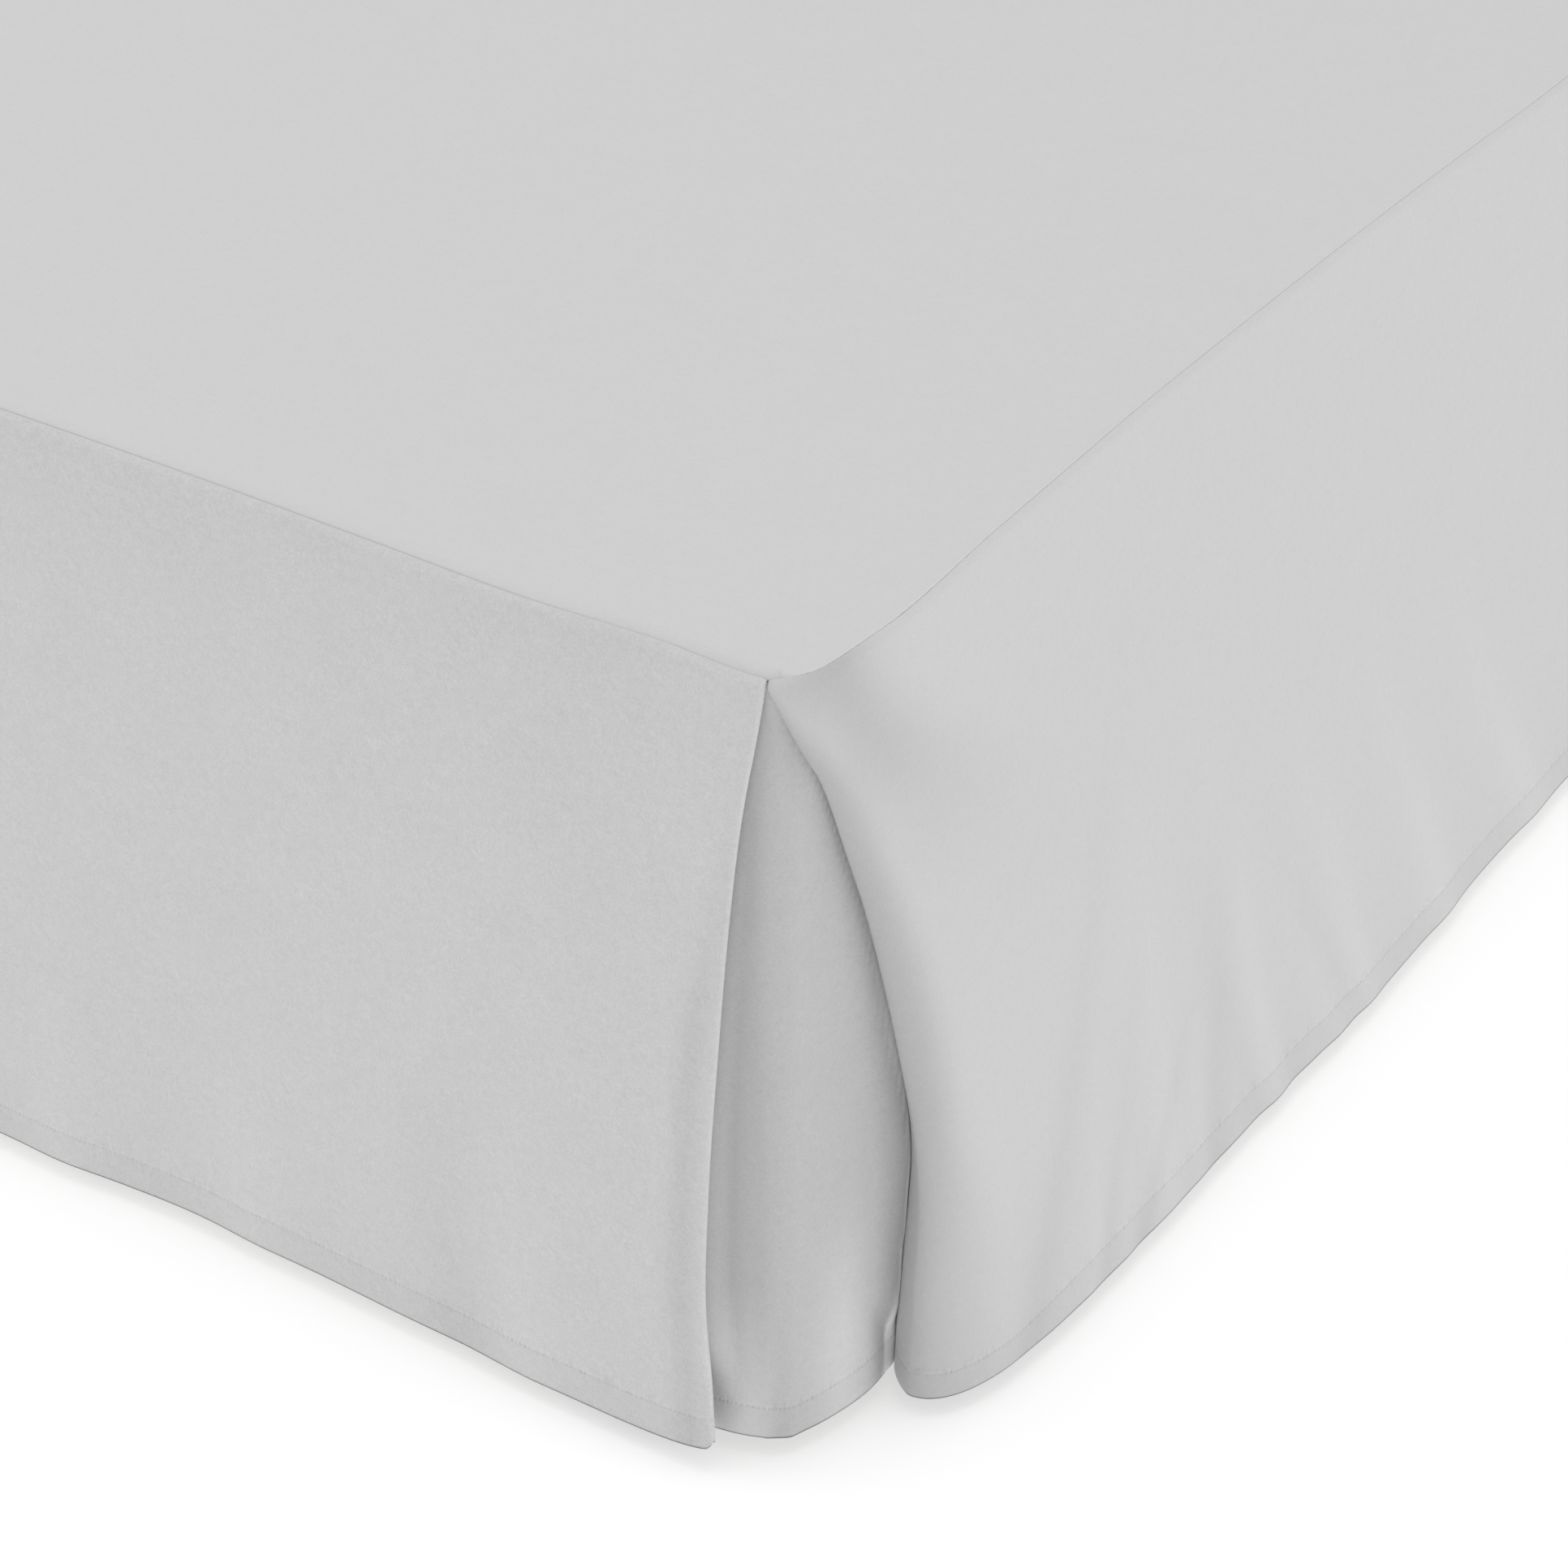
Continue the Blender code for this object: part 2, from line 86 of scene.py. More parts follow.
# Grid of a drop: rows of the lip and of the roll, rows of the fall, and rows near the hem in millimetres
# above it. Columns crowd towards the pleat's fold on both sides of it, then stand near and at last far
# apart by their steps.
LIP_ROWS = 3
ROLL_ROWS = 6
FALL_ROWS = 68
HEM_ROWS = (22.0, 19.6, 18.0, 17.3, 16.8, 16.3, 15.6, 14.2, 11.0, 7.0, 3.5, 1.2, 0.35, 0.0)
FAN_END = 0.160
FAN_COLUMNS = 46
FAN_CROWDING = 2.1
RETURN_COLUMNS = 22
RETURN_CROWDING = 2.0
NEAR_STEP = 0.004
SIDE_NEAR = 0.690
SIDE_FAR_STEP = 0.010
FOOT_NEAR = 0.440
FOOT_FAR_STEP = 0.006
UNDERLAY_COLUMNS = 84
UNDERLAY_FIRST_ROW = LIP_ROWS + ROLL_ROWS - 2

# An underlay starts a tuck below the deck, is pinched to the returns where it is sewn to them, and lies up
# against them in between. A nestle is where, past the fold, it comes up to the line behind a return: high
# up, and at a side's hem, with the rows over which it moves there. By the hem the foot's return lets it go.
# A touch is how far past the fold that line lies level; the gaps are kept along it, at the hem, and more
# below the seam.
UNDERLAY_TUCK = 0.0025
PINCH = 0.012
SIDE_NESTLE = (-0.011, 0.004)
SIDE_HEM_NESTLE = (0.009, 0.016)
SIDE_NESTLE_ROWS = (0.86, 0.975)
FOOT_NESTLE = (-0.003, 0.008)
NESTLE_END_ROWS = (0.84, 0.96)
SIDE_TOUCH = 0.006
FOOT_TOUCH = 0.001
NESTLE_GAP = 0.00085
HEM_NESTLE_GAP = 0.0011
TOP_GAP = 0.0007
TOP_GAP_REACH = 0.04
SLOPE_STEP = 0.0004

SIDES = {"right": 1, "left": -1}

# Pleat folds, read down the drop. fold_at is how far the fold lies from the corner's middle along the
# seam, fold_out and back_out how far the fold and the return behind it stand out of their layers. The
# turns say how gently the cloth leaves the fold, in front and behind, and how crisp that bend is, from a
# round roll to a flat facet that ends in a ridge. A crease is where the return meets the underlay.
SIDE_FOLD = (
    ("down", "fold_at", "fold_out", "back_out", "front_turn", "front_crisp", "back_turn", "back_crisp"),
    (0.00, -4.7, 0.0, 0.0, 0.7, 1.0, 0.7, 1.0),
    (0.07, 4.8, 0.5, 0.1, 5.0, 1.6, 5.0, 2.0),
    (0.18, 22.0, 2.0, 0.3, 14.0, 2.6, 12.0, 3.0),
    (0.30, 39.5, 4.2, 0.6, 16.0, 3.0, 18.0, 3.0),
    (0.42, 51.4, 7.4, 0.8, 19.0, 3.0, 24.0, 3.0),
    (0.53, 58.8, 11.4, 1.0, 18.0, 3.0, 26.0, 3.0),
    (0.64, 65.0, 15.2, 1.0, 14.0, 2.2, 26.0, 3.0),
    (0.74, 67.2, 17.0, 1.0, 18.0, 1.5, 16.0, 3.0),
    (0.86, 64.2, 17.2, 1.1, 28.0, 1.0, 13.0, 3.0),
    (1.00, 61.2, 17.2, 1.2, 36.0, 1.0, 13.0, 3.0),
)
FOOT_FOLD = (
    ("down", "fold_at", "fold_out", "back_out", "front_turn", "front_crisp", "back_turn", "back_crisp"),
    (0.00, 5.8, 0.0, 0.0, 0.7, 1.0, 0.7, 1.0),
    (0.07, 9.2, 0.5, 0.4, 0.7, 1.0, 0.7, 1.0),
    (0.18, 15.3, 1.7, 1.5, 0.8, 1.0, 0.7, 1.0),
    (0.30, 19.8, 3.1, 2.8, 0.8, 1.0, 0.8, 1.0),
    (0.45, 23.8, 5.0, 4.5, 0.9, 1.0, 0.8, 1.0),
    (0.65, 27.8, 7.8, 6.9, 1.0, 1.0, 0.9, 1.0),
    (0.80, 28.4, 9.8, 8.4, 1.2, 1.0, 1.0, 1.0),
    (0.91, 25.0, 10.8, 8.6, 1.8, 1.0, 1.6, 1.0),
    (1.00, 23.8, 11.0, 7.6, 3.0, 1.0, 3.0, 1.0),
)
ROUND_CRISP = 1.0
FLAT_CRISP = 3.0
SIDE_CREASE = {"at": 0.0950, "out": 0.0023}
FOOT_CREASE = {"at": 0.0928, "out": 0.0}

# The soft hollow that runs down and away from the corner beside the side fold, read down the drop, and
# the painted shade that lies in it, in thousandths.
CORNER_HOLLOW = (
    ("down", "at", "depth", "width", "shade", "shade_width"),
    (0.00, 18.0, 0.0, 12.0, 190.0, 20.0),
    (0.05, 28.0, 0.7, 14.0, 165.0, 20.0),
    (0.12, 44.0, 1.8, 19.0, 145.0, 28.0),
    (0.22, 76.0, 2.3, 28.0, 75.0, 40.0),
    (0.35, 110.0, 1.5, 40.0, 15.0, 60.0),
    (0.47, 150.0, 0.0, 46.0, 0.0, 60.0),
    (1.00, 150.0, 0.0, 46.0, 0.0, 60.0),
)

# The foot drop's hem rises a little at its two folds, and a side's hem is shallower on the roll.
TIP_LIFT = 0.0046
TIP_REACH = 0.016
TIP_ROWS = 0.060
TIP_ROUND = 0.0035
SHALLOW_HEM = 0.75
SHALLOW_ROLL = (0.100, 0.170)
SHALLOW_ROWS = 0.050

# How far each hem stands out of the seam line, against the distance from the corner's middle, which is
# negative along the foot for an underlay.
SIDE_HEM = (
    ("at", "out"),
    (60, 51.5),
    (200, 51.0),
    (320, 49.5),
    (430, 50.0),
    (570, 44.5),
    (660, 43.0),
    (820, 46.0),
    (1000, 50.0),
    (1250, 45.5),
    (1500, 49.5),
    (1750, 44.5),
    (2030, 46.5),
)
FOOT_HEM = (
    ("at", "out"),
    (20, 15.5),
    (48, 16.5),
    (97, 16.5),
    (160, 14.5),
    (235, 11.5),
    (310, 9.0),
    (380, 12.5),
    (425, 13.0),
    (560, 10.5),
    (680, 13.0),
    (762, 11.0),
)
UNDERLAY_HEM = (
    ("at", "out"),
    (-93, -1.5),
    (-50, -1.0),
    (-35, -1.5),
    (-20, -4.8),
    (-12, -7.9),
    (3, -8.9),
    (15, -5.2),
    (25, -1.6),
    (34, 0.9),
    (44, 3.0),
    (54, 4.2),
    (66, 3.8),
    (77, 2.4),
    (86, 1.4),
    (95, 1.0),
)

# How far the seam line strays from straight, against the distance from the corner's middle. A side's
# swings out beside the corner, and that is gone at its depth down the drop; the foot's fades to the hem.
# The foot's last row lies past its middle and only gives the line its slope there.
SIDE_SEAM_STRAY = (
    ("at", "out"),
    (0, 0.0),
    (6, 0.6),
    (12, 2.8),
    (18, 4.2),
    (25, 5.1),
    (35, 5.9),
    (48, 6.7),
    (61, 7.4),
    (77, 7.2),
    (97, 6.2),
    (124, 4.3),
    (164, 2.7),
    (203, 1.3),
    (259, -0.7),
    (329, -1.5),
    (401, -1.7),
    (477, -1.4),
    (554, 0.0),
    (634, 2.2),
    (760, 0.4),
    (1000, -1.2),
    (1300, 1.2),
    (1600, -1.4),
    (1850, 1.0),
    (2035, 0.0),
)
SIDE_STRAY_DEPTH = 0.28
FOOT_SEAM_STRAY = (
    ("at", "out"),
    (0, 0.0),
    (20, 0.0),
    (51, -1.4),
    (115, 1.5),
    (190, 0.0),
    (275, -1.5),
    (400, -1.2),
    (530, -0.6),
    (630, 1.5),
    (760, 0.4),
    (1000, -1.2),
)

# Soft ridges and troughs of the drops: where each meets the hem, how far its top lies back towards the
# corner, how far down it starts, its height and half width at the hem, and its tone there, in thousandths:
# painted light on a ridge and painted shade in a trough.
SIDE_RIPPLES = (
    ("hem_at", "slant", "start", "height", "width", "tone"),
    (100, 0, 0.45, 0.18, 12, 30),
    (115, -150, 0.20, -0.45, 14, -75),
    (164, -60, 0.60, 0.27, 9, 45),
    (172, -140, 0.50, -0.27, 8, -45),
    (193, -20, 0.70, 0.21, 7, 35),
    (206, -230, 0.60, -0.39, 9, -65),
    (232, 0, 0.30, 0.36, 16, 60),
    (262, 0, 0.60, 0.3, 9, 50),
    (272, -70, 0.35, -0.36, 12, -60),
    (318, 130, 0.50, -0.9, 12, -45),
    (329, 62, 0.30, 1.3, 16, 65),
    (350, 100, 0.70, -0.6, 10, -30),
    (392, 180, 0.65, 0.8, 12, 40),
    (412, 190, 0.55, -0.8, 10, -40),
    (420, 105, 0.40, 1.3, 16, 65),
    (511, 150, 0.40, 1.3, 18, 65),
    (616, 200, 0.40, 1.3, 20, 65),
    (704, 120, 0.45, 0.9, 22, 45),
    (812, 60, 0.40, 1.2, 21, 60),
    (905, -40, 0.50, 0.8, 24, 40),
    (1015, 30, 0.45, 1.1, 23, 55),
    (1130, 90, 0.50, 0.8, 26, 40),
    (1262, -70, 0.40, 1.2, 23, 60),
    (1370, 40, 0.50, 0.8, 24, 40),
    (1498, -110, 0.45, 1.0, 22, 50),
    (1610, -50, 0.50, 0.9, 24, 45),
    (1745, -90, 0.40, 1.3, 23, 65),
    (1860, 40, 0.50, 0.8, 21, 40),
    (1950, -60, 0.50, 0.9, 20, 45),
)
FOOT_RIPPLES = (
    ("hem_at", "slant", "start", "height", "width", "tone"),
    (118, -35, 0.60, 0.6, 18, 60),
    (155, -25, 0.50, -0.6, 20, -60),
    (272, 8, 0.60, 1.2, 22, 60),
    (384, 20, 0.65, 1.2, 20, 60),
    (470, 30, 0.55, -1.3, 26, -65),
    (590, -20, 0.60, 1.4, 26, 70),
    (700, 30, 0.60, -1.2, 28, -60),
)
# The left half has the same ones, moved along and a little flatter.
LEFT_SHIFT = 0.038
LEFT_HEIGHT = 0.85

# The deck: lines close together at its edges, in millimetres in from them, and its faint shapes. Its edges
# follow the seam's strays, curl down into the seam and sag at the corners, and it swells in between.
DECK_EDGE_ROWS = (0.0, 0.5, 1.1, 1.7, 2.6, 4.0, 6.0, 9.0, 12.0, 15.0, 20.0, 27.0, 36.0)
DECK_STEP = 0.014
STRAY_REACH = 0.080
DECK_CURL = 0.0006
DECK_CURL_REACH = 0.0008
FOOT_CURL_REACH = 0.0024
CORNER_SAG = 0.0012
CORNER_SAG_REACH = 0.060
CORNER_SAG_DEPTH = 0.004
DECK_SWELL = 0.0003
SWELL_START = 0.05
SWELL_WAVES = ((31, 13, 0.3), (-17, 29, 1.7), (43, -37, 4.1), (9, 51, 2.9), (-67, -23, 5.3))

# Painted light and shade on the cloth, as a share of its tone. A painted highlight along a pressed fold's
# edge, and painted shade on the flatter strip that widens beside it:
FOLD_EDGE_HIGHLIGHT_TONE = 0.06
FOLD_EDGE_HIGHLIGHT_REACH = 0.0012
PRESSED_STRIP_SHADE_TONE = -0.105
PRESSED_AT = 0.0110
PRESSED_REACH = 0.0075
PRESSED_FROM = (0.15, 0.45)
# Painted shade where a side's front bends to its fold and on the facet beside that, fainter on a round
# roll, and painted light on the return from its turn on, which lightens the shade there:
BEND_SHADE_TONE = -0.12
FACET_SHADE_TONE = -0.14
FACET_POWER = 4
ROUND_FACET = 0.4
RETURN_FILL_LIGHT_TONE = 0.62
RETURN_TURN = 0.0018
# Painted light deep in a pleat, which lightens the shade there: on the foot drop's return and, from there
# on past each fold, on the underlay; the side's pocket starts further in lower down, and both start at the
# seam:
POCKET_FILL_LIGHT_TONE = 0.75
FOOT_POCKET_FILL_LIGHT_TONE = 0.50
FOOT_POCKET = (0.004, 0.014)
SIDE_POCKET = (-0.001, 0.004)
SIDE_LOW_POCKET = (0.003, 0.005)
SIDE_POCKET_ROWS = (0.50, 0.64)
TOP_POCKET_REACH = 0.02
# Also on the underlay: painted light low beside the foot's fold, painted shade in a band beside the
# side's, and a painted highlight on its ridge:
LOW_FILL_LIGHT_TONE = 0.26
LOW_LIFT_AT = -0.020
LOW_LIFT_REACH = 0.013
LOW_LIFT_ROWS = (0.76, 0.97)
BAND_SHADE_TONE = -0.17
BAND_AT = -0.0005
BAND_REACH = 0.0055
BAND_ROWS = (0.02, 0.25)
BAND_END_ROWS = (0.84, 0.97)
RIDGE_HIGHLIGHT_TONE = 0.19
RIDGE_AT = 0.038
RIDGE_REACH = 0.016
RIDGE_ROWS = (0.66, 0.92)
# Painted shade below the foot's seam and on the deck beside that seam, a thin dark line along the foot's
# seam, and painted light along each side's seam, which lightens the shade in its groove:
BELOW_SEAM_SHADE_TONE = -0.045
BELOW_SEAM_REACH = 0.20
SEAM_SHADE_TONE = -0.03
SEAM_CORNER_SHADE_TONE = -0.07
SEAM_REACH = 0.005
FOOT_SEAM_LINE = -0.15
FOOT_SEAM_LINE_REACH = 0.0008
SIDE_SEAM_FILL_LIGHT = 0.42
SIDE_SEAM_FILL_LIGHT_REACH = 0.0004

# Finishes: linear colours, and the patterns of their surfaces as waves to the metre, detail, and stretch
# along the three axes.
CLOTH_GREY = (0.60, 0.60, 0.60)
TICKING_WHITE = (0.78, 0.77, 0.74)
LEG_BROWN = (0.13, 0.075, 0.045)
PATTERNS = {
    "fibres": (1000.0, 2.0, (1.0, 1.0, 1.0)),
    "nap_and_painted_light": (260.0, 3.0, (1.0, 1.0, 1.0)),
    "patches": (34.0, 3.0, (1.0, 1.0, 1.0)),
    "creases": (26.0, 3.0, (1.0, 4.5, 0.0)),
    "tight stitches": (170.0, 2.0, (1.0, 0.0, 0.0)),
    "dashes": (420.0, 1.0, (1.0, 0.3, 0.0)),
    "puckers": (85.0, 1.0, (1.0, 0.2, 0.0)),
    "blotches": (120.0, 2.0, (1.0, 1.0, 0.0)),
    "slubs": (700.0, 2.0, (1.0, 1.0, 1.0)),
    "padding": (18.0, 2.0, (1.0, 1.0, 1.0)),
    "grain": (160.0, 4.0, (1.0, 1.0, 0.06)),
    "pores": (900.0, 2.0, (1.0, 1.0, 0.03)),
}

# The brushed cloth: how high each pattern stands, in metres, and how much lighter it is.
FIBRE_HEIGHT = 0.00008
FIBRE_TONE = 0.26
NAP_HEIGHT = 0.00022
NAP_TONE = 0.12
PATCH_HEIGHT = 0.0006
PATCH_TONE = 0.05
# Press creases sink, and carry painted shade.
CREASE_HEIGHT = -0.0006
CREASE_SHADE_TONE = -0.05
CREASE_LEAST = 0.1
PUCKER_HEIGHT = 0.0009
PUCKER_REACH = 0.0075
# Its hem: the stitches and painted shade in the tight ones' holes, painted shade in the dashes and a
# painted highlight on the ledge just above them, painted shade on the turned cloth and in its patches,
# and a painted shadow along the bottom edge.
STITCH_HEIGHT = 0.00025
STITCH_PITCH = 0.0024
STITCH_REACH = 0.0007
HOLE_SHADE_TONE = -0.40
DASH_SHADE_TONE = -0.35
DASH_ABOVE = 0.001
DASH_REACH = 0.0028
LEDGE_HIGHLIGHT_TONE = 0.02
LEDGE_ABOVE = 0.0012
LEDGE_REACH = 0.0008
TURNED_SHADE_TONE = -0.03
BLOTCH_SHADE_TONE = -0.06
HEM_EDGE_SHADOW_TONE = -0.85
HEM_EDGE_SHADOW_REACH = 0.0008
# How softly a pattern is cut off at nothing.
SHARP_CUT = 0.05
SOFT_CUT = 0.1
STITCH_CUT = 0.4

# The same for the ticking and the wood.
TWILL_PITCH = 0.0016
TWILL_HEIGHT = 0.00004
TWILL_TONE = 0.02
SLUB_HEIGHT = 0.00012
SLUB_TONE = 0.10
PADDING_HEIGHT = 0.0016
PADDING_TONE = 0.05
RIB_PITCH = 0.045
RIB_LEAST = 0.9
RIB_HEIGHT = 0.0012
RIB_TONE = -0.35
GRAIN_HEIGHT = 0.0002
GRAIN_TONE = 1.5
PORE_HEIGHT = 0.0002
PORE_TONE = 0.7
GRAIN_ROUGHNESS = 0.25
WOOD_ROUGHNESS = 0.42

# The stage, in metres: the floor, soft lights as name, place, size and power, which all face one place,
# and the camera, with its yaw and pitch in degrees.
FLOOR_RADIUS = 14.0
FLOOR_SIDES = 64
FLOOR_WHITE = (0.60, 0.60, 0.60)
FLOOR_GLOW = 0.48
SURROUND = 0.75
LAMPS = (
    ("overhead", (0.8, -1.0, 5.2), 2.5, 42.0),
    ("right", (5.5, 0.1, 1.25), 2.5, 37.0),
    ("left", (-2.8, -3.1, 3.1), 2.5, 34.0),
)
LAMP_TARGET = (0.8, -1.0, 0.2)
CAMERA_AT = (1.5425, -2.1755, 1.2582)
CAMERA_YAW = 123.77
CAMERA_PITCH = -32.98
CAMERA_LENS = 102.48

# Half the arc of a corner, the runs of a side and of half the foot from a corner's middle, and where the
# deck ends.
HALF_ARC = DECK_CORNER * math.pi / 4
SIDE_RUN = DECK_LENGTH - DECK_CORNER + HALF_ARC
FOOT_RUN = DECK_WIDTH / 2 - DECK_CORNER + HALF_ARC
FOOT_Y = -(DECK_LENGTH - FOOT_REACH) / 2
HEAD_Y = FOOT_Y + DECK_LENGTH


def column(table, name):
    """One named column of a table."""
    header, *rows = table
    place = header.index(name)
    return np.array([row[place] for row in rows], float)


def smooth(x, xs, ys):
    """A smooth line through the points (xs, ys), read at x: a cubic between each two of them."""
    slopes = np.gradient(ys, xs)
    x = np.clip(x, xs[0], xs[-1])
    low = np.clip(np.searchsorted(xs, x, side="right") - 1, 0, len(xs) - 2)
    span = xs[low + 1] - xs[low]
    f = (x - xs[low]) / span
    ends = (1 + 2 * f) * (1 - f) ** 2 * ys[low] + f**2 * (3 - 2 * f) * ys[low + 1]
    return ends + span * (f * (1 - f) ** 2 * slopes[low] - f**2 * (1 - f) * slopes[low + 1])


def ramp(x, start, end):
    """A smooth rise from 0 at start to 1 at end: share^2 (3 - 2 share)."""
    share = np.clip((x - start) / (end - start), 0, 1)
    return share**2 * (3 - 2 * share)


def bell(x, middle, reach):
    """A bell of height 1 round its middle: exp(-((x - middle) / reach)^2)."""
    return np.exp(-(((x - middle) / reach) ** 2))


def read(table, key, name, x):
    """A column of a table in millimetres, read in metres at x along its key column, which is in x's unit."""
    return smooth(x, column(table, key), column(table, name)) * MM


def on_seam(along, out, side):
    """Plan points `along` the seam from a foot corner's middle and `out` of it.

    A negative distance runs along the foot, a positive one up the side; between them lies the corner's
    quarter circle: x = W/2 - r + (r + out) sin t, y = foot + r - (r + out) cos t.
    """
    turn = np.clip((along + HALF_ARC) / DECK_CORNER, 0, math.pi / 2)
    past_foot = np.minimum(along + HALF_ARC, 0)
    past_side = np.maximum(along - HALF_ARC, 0)
    x = DECK_WIDTH / 2 - DECK_CORNER + (DECK_CORNER + out) * np.sin(turn) + past_foot
    y = FOOT_Y + DECK_CORNER - (DECK_CORNER + out) * np.cos(turn) + past_side
    return side * x, y


def stray(along, down, on_side):
    """How far a seam lies out of its straight line, and what is left of that lower down.

    At the foot it fades by 1 - down, at a side by the smooth fall of 1 - ramp to its depth.
    """
    at = np.abs(along) / MM
    foot = read(FOOT_SEAM_STRAY, "at", "out", at) * (1 - down)
    side = read(SIDE_SEAM_STRAY, "at", "out", at) * (1 - ramp(down, 0, SIDE_STRAY_DEPTH))
    return np.where(on_side, side, foot)


def ripples(table, name, at, down, shift=0.0, scale=1.0):
    """Slanting ridges of the named column's height: the sum of it * grown * a bell round its middle."""
    total = np.zeros(np.broadcast(at, down).shape)
    header, *rows = table
    for row in rows:
        ridge = dict(zip(header, row))
        middle = ridge["hem_at"] * MM + shift - ridge["slant"] * MM * (1 - down)
        grown = np.clip((down - ridge["start"]) / (1 - ridge["start"]), 0, 1) ** RIPPLE_SWING
        total += scale * ridge[name] * MM * grown * bell(at, middle, ridge["width"] * MM)
    return total


def rolled_rows(reach):
    """A cloth's way out of the seam and its height, row by row: lip, quarter-circle roll, then the fall."""
    radius = reach - ROLL_START
    lip = np.linspace(-math.pi / 2, 0, LIP_ROWS, endpoint=False)
    quarter = np.linspace(0, math.pi / 2, ROLL_ROWS)
    small = LIP_SHARE * radius
    out = np.concatenate([ROLL_START + small * np.sin(lip), ROLL_START + radius * np.sin(quarter)])
    lip_height = ROLL_END + radius - small * (1 - np.cos(lip))
    height = np.concatenate([lip_height, ROLL_END + radius * np.cos(quarter)])
    fall = ROLL_END - fall_rows() * FALL
    return np.concatenate([out, np.full(len(fall), reach)]), np.concatenate([height, fall])


def fall_rows():
    """Each falling row's share of the way from the foot of the roll to the hem."""
    hem = 1 - np.array(HEM_ROWS) * MM / FALL
    return np.concatenate([np.linspace(0, hem[0], FALL_ROWS + 1)[1:-1], hem])


def rows_down():
    """The same for every row, those of the roll included."""
    return np.concatenate([np.zeros(LIP_ROWS + ROLL_ROWS), fall_rows()])


def above_hem(down):
    """Height above the hem, before anything lifts or draws in that hem."""
    return (1 - down) * FALL


def hollow(along, down, names=("at", "depth", "width")):
    """The hollow beside the corner, a bell of the named columns: its place, its amount and its width."""
    middle, amount, width = (read(CORNER_HOLLOW, "down", name, down) for name in names)
    return amount * bell(along, middle, width)


def tip_lift(past, down):
    """How far the hem rises near a pressed fold: a gentle rise, and the fold's round bottom corner.

    It is lift * exp(-past / reach) and round - sqrt(round^2 - (round - past)^2), both fading upwards.
    """
    above = above_hem(down)
    gentle = TIP_LIFT * np.exp(-np.abs(past) / TIP_REACH) * np.clip(1 - above / TIP_ROWS, 0, 1)
    inside = np.clip(1 - np.abs(past) / TIP_ROUND, 0, 1)
    rounded = TIP_ROUND * (1 - np.sqrt(1 - inside**2))
    return gentle + rounded * np.clip(1 - above / (2 * TIP_ROUND), 0, 1)


def shallow_drop(along, down):
    """How far the rows near a side's hem sink where that hem is shallower, on the roll of its fold."""
    above = above_hem(down)
    share = (1 - SHALLOW_HEM) * (1 - ramp(along, *SHALLOW_ROLL))
    return above * share * np.clip((SHALLOW_ROWS - above) / (SHALLOW_ROWS - HEM_DEPTH), 0, 1)


def fan_columns(fold_at):
    """Where a drop's first columns stand in each row: fold + (fan's end - fold) * share^crowding."""
    share = np.linspace(0, 1, FAN_COLUMNS + 1)[1:, None] ** FAN_CROWDING
    return fold_at + (FAN_END - fold_at) * share


def far_columns(near_end, run, far_step):
    """The rest of a drop's columns: close together to near_end, wider apart from there to its end."""
    near = np.arange(FAN_END + NEAR_STEP, near_end, NEAR_STEP)
    far = np.linspace(near_end, run, round((run - near_end) / far_step))
    return np.concatenate([near, far])[:, None]


def settle(past_fold, fold, face, down):
    """How much of the way from the fold to its own layer the cloth has come, `past_fold` from the fold.

    settled = (1 - exp(-(past / turn)^crisp))^(1 / (crisp + 1)), on the `face` that is front or back. A
    crispness is no length, so it is taken out of metres again.
    """
    crisp = read(fold, "down", f"{face}_crisp", down) / MM
    turned = past_fold / read(fold, "down", f"{face}_turn", down)
    return (1 - np.exp(-(turned**crisp))) ** (1 / (crisp + 1))


def return_out(fold, crease, along, down):
    """How far out the return stands behind its fold, well below the roll: fold_out + (layer - fold_out)
    settled, with the layer going evenly from the fold to the crease.
    """
    fold_at = read(fold, "down", "fold_at", down)
    past = np.clip(along - fold_at, 0, crease["at"] - fold_at)
    start = LAYER_OUT + read(fold, "down", "back_out", down)
    to_crease = crease["at"] - fold_at
    layer = start + (LAYER_OUT + crease["out"] * down**CREASE_SWING - start) * past / to_crease
    fold_out = (ROLL_OUT + LAYER_OUT) / 2 + read(fold, "down", "fold_out", down)
    settled = settle(past, fold, "back", down) / settle(to_crease, fold, "back", down)
    return fold_out + (layer - fold_out) * settled


def behind_return(fold, crease, along, down, touch, gap):
    """The line behind a return, `gap` off it square to its slope; up to `touch` past the fold it lies level.

    out = return_out - gap * sqrt(1 + slope^2).
    """
    at = np.maximum(along, read(fold, "down", "fold_at", down) + touch)
    near, beyond = (return_out(fold, crease, at + step, down) for step in (-SLOPE_STEP, SLOPE_STEP))
    slope = (beyond - near) / (2 * SLOPE_STEP)
    return (near + beyond) / 2 - gap * np.sqrt(1 + slope**2)


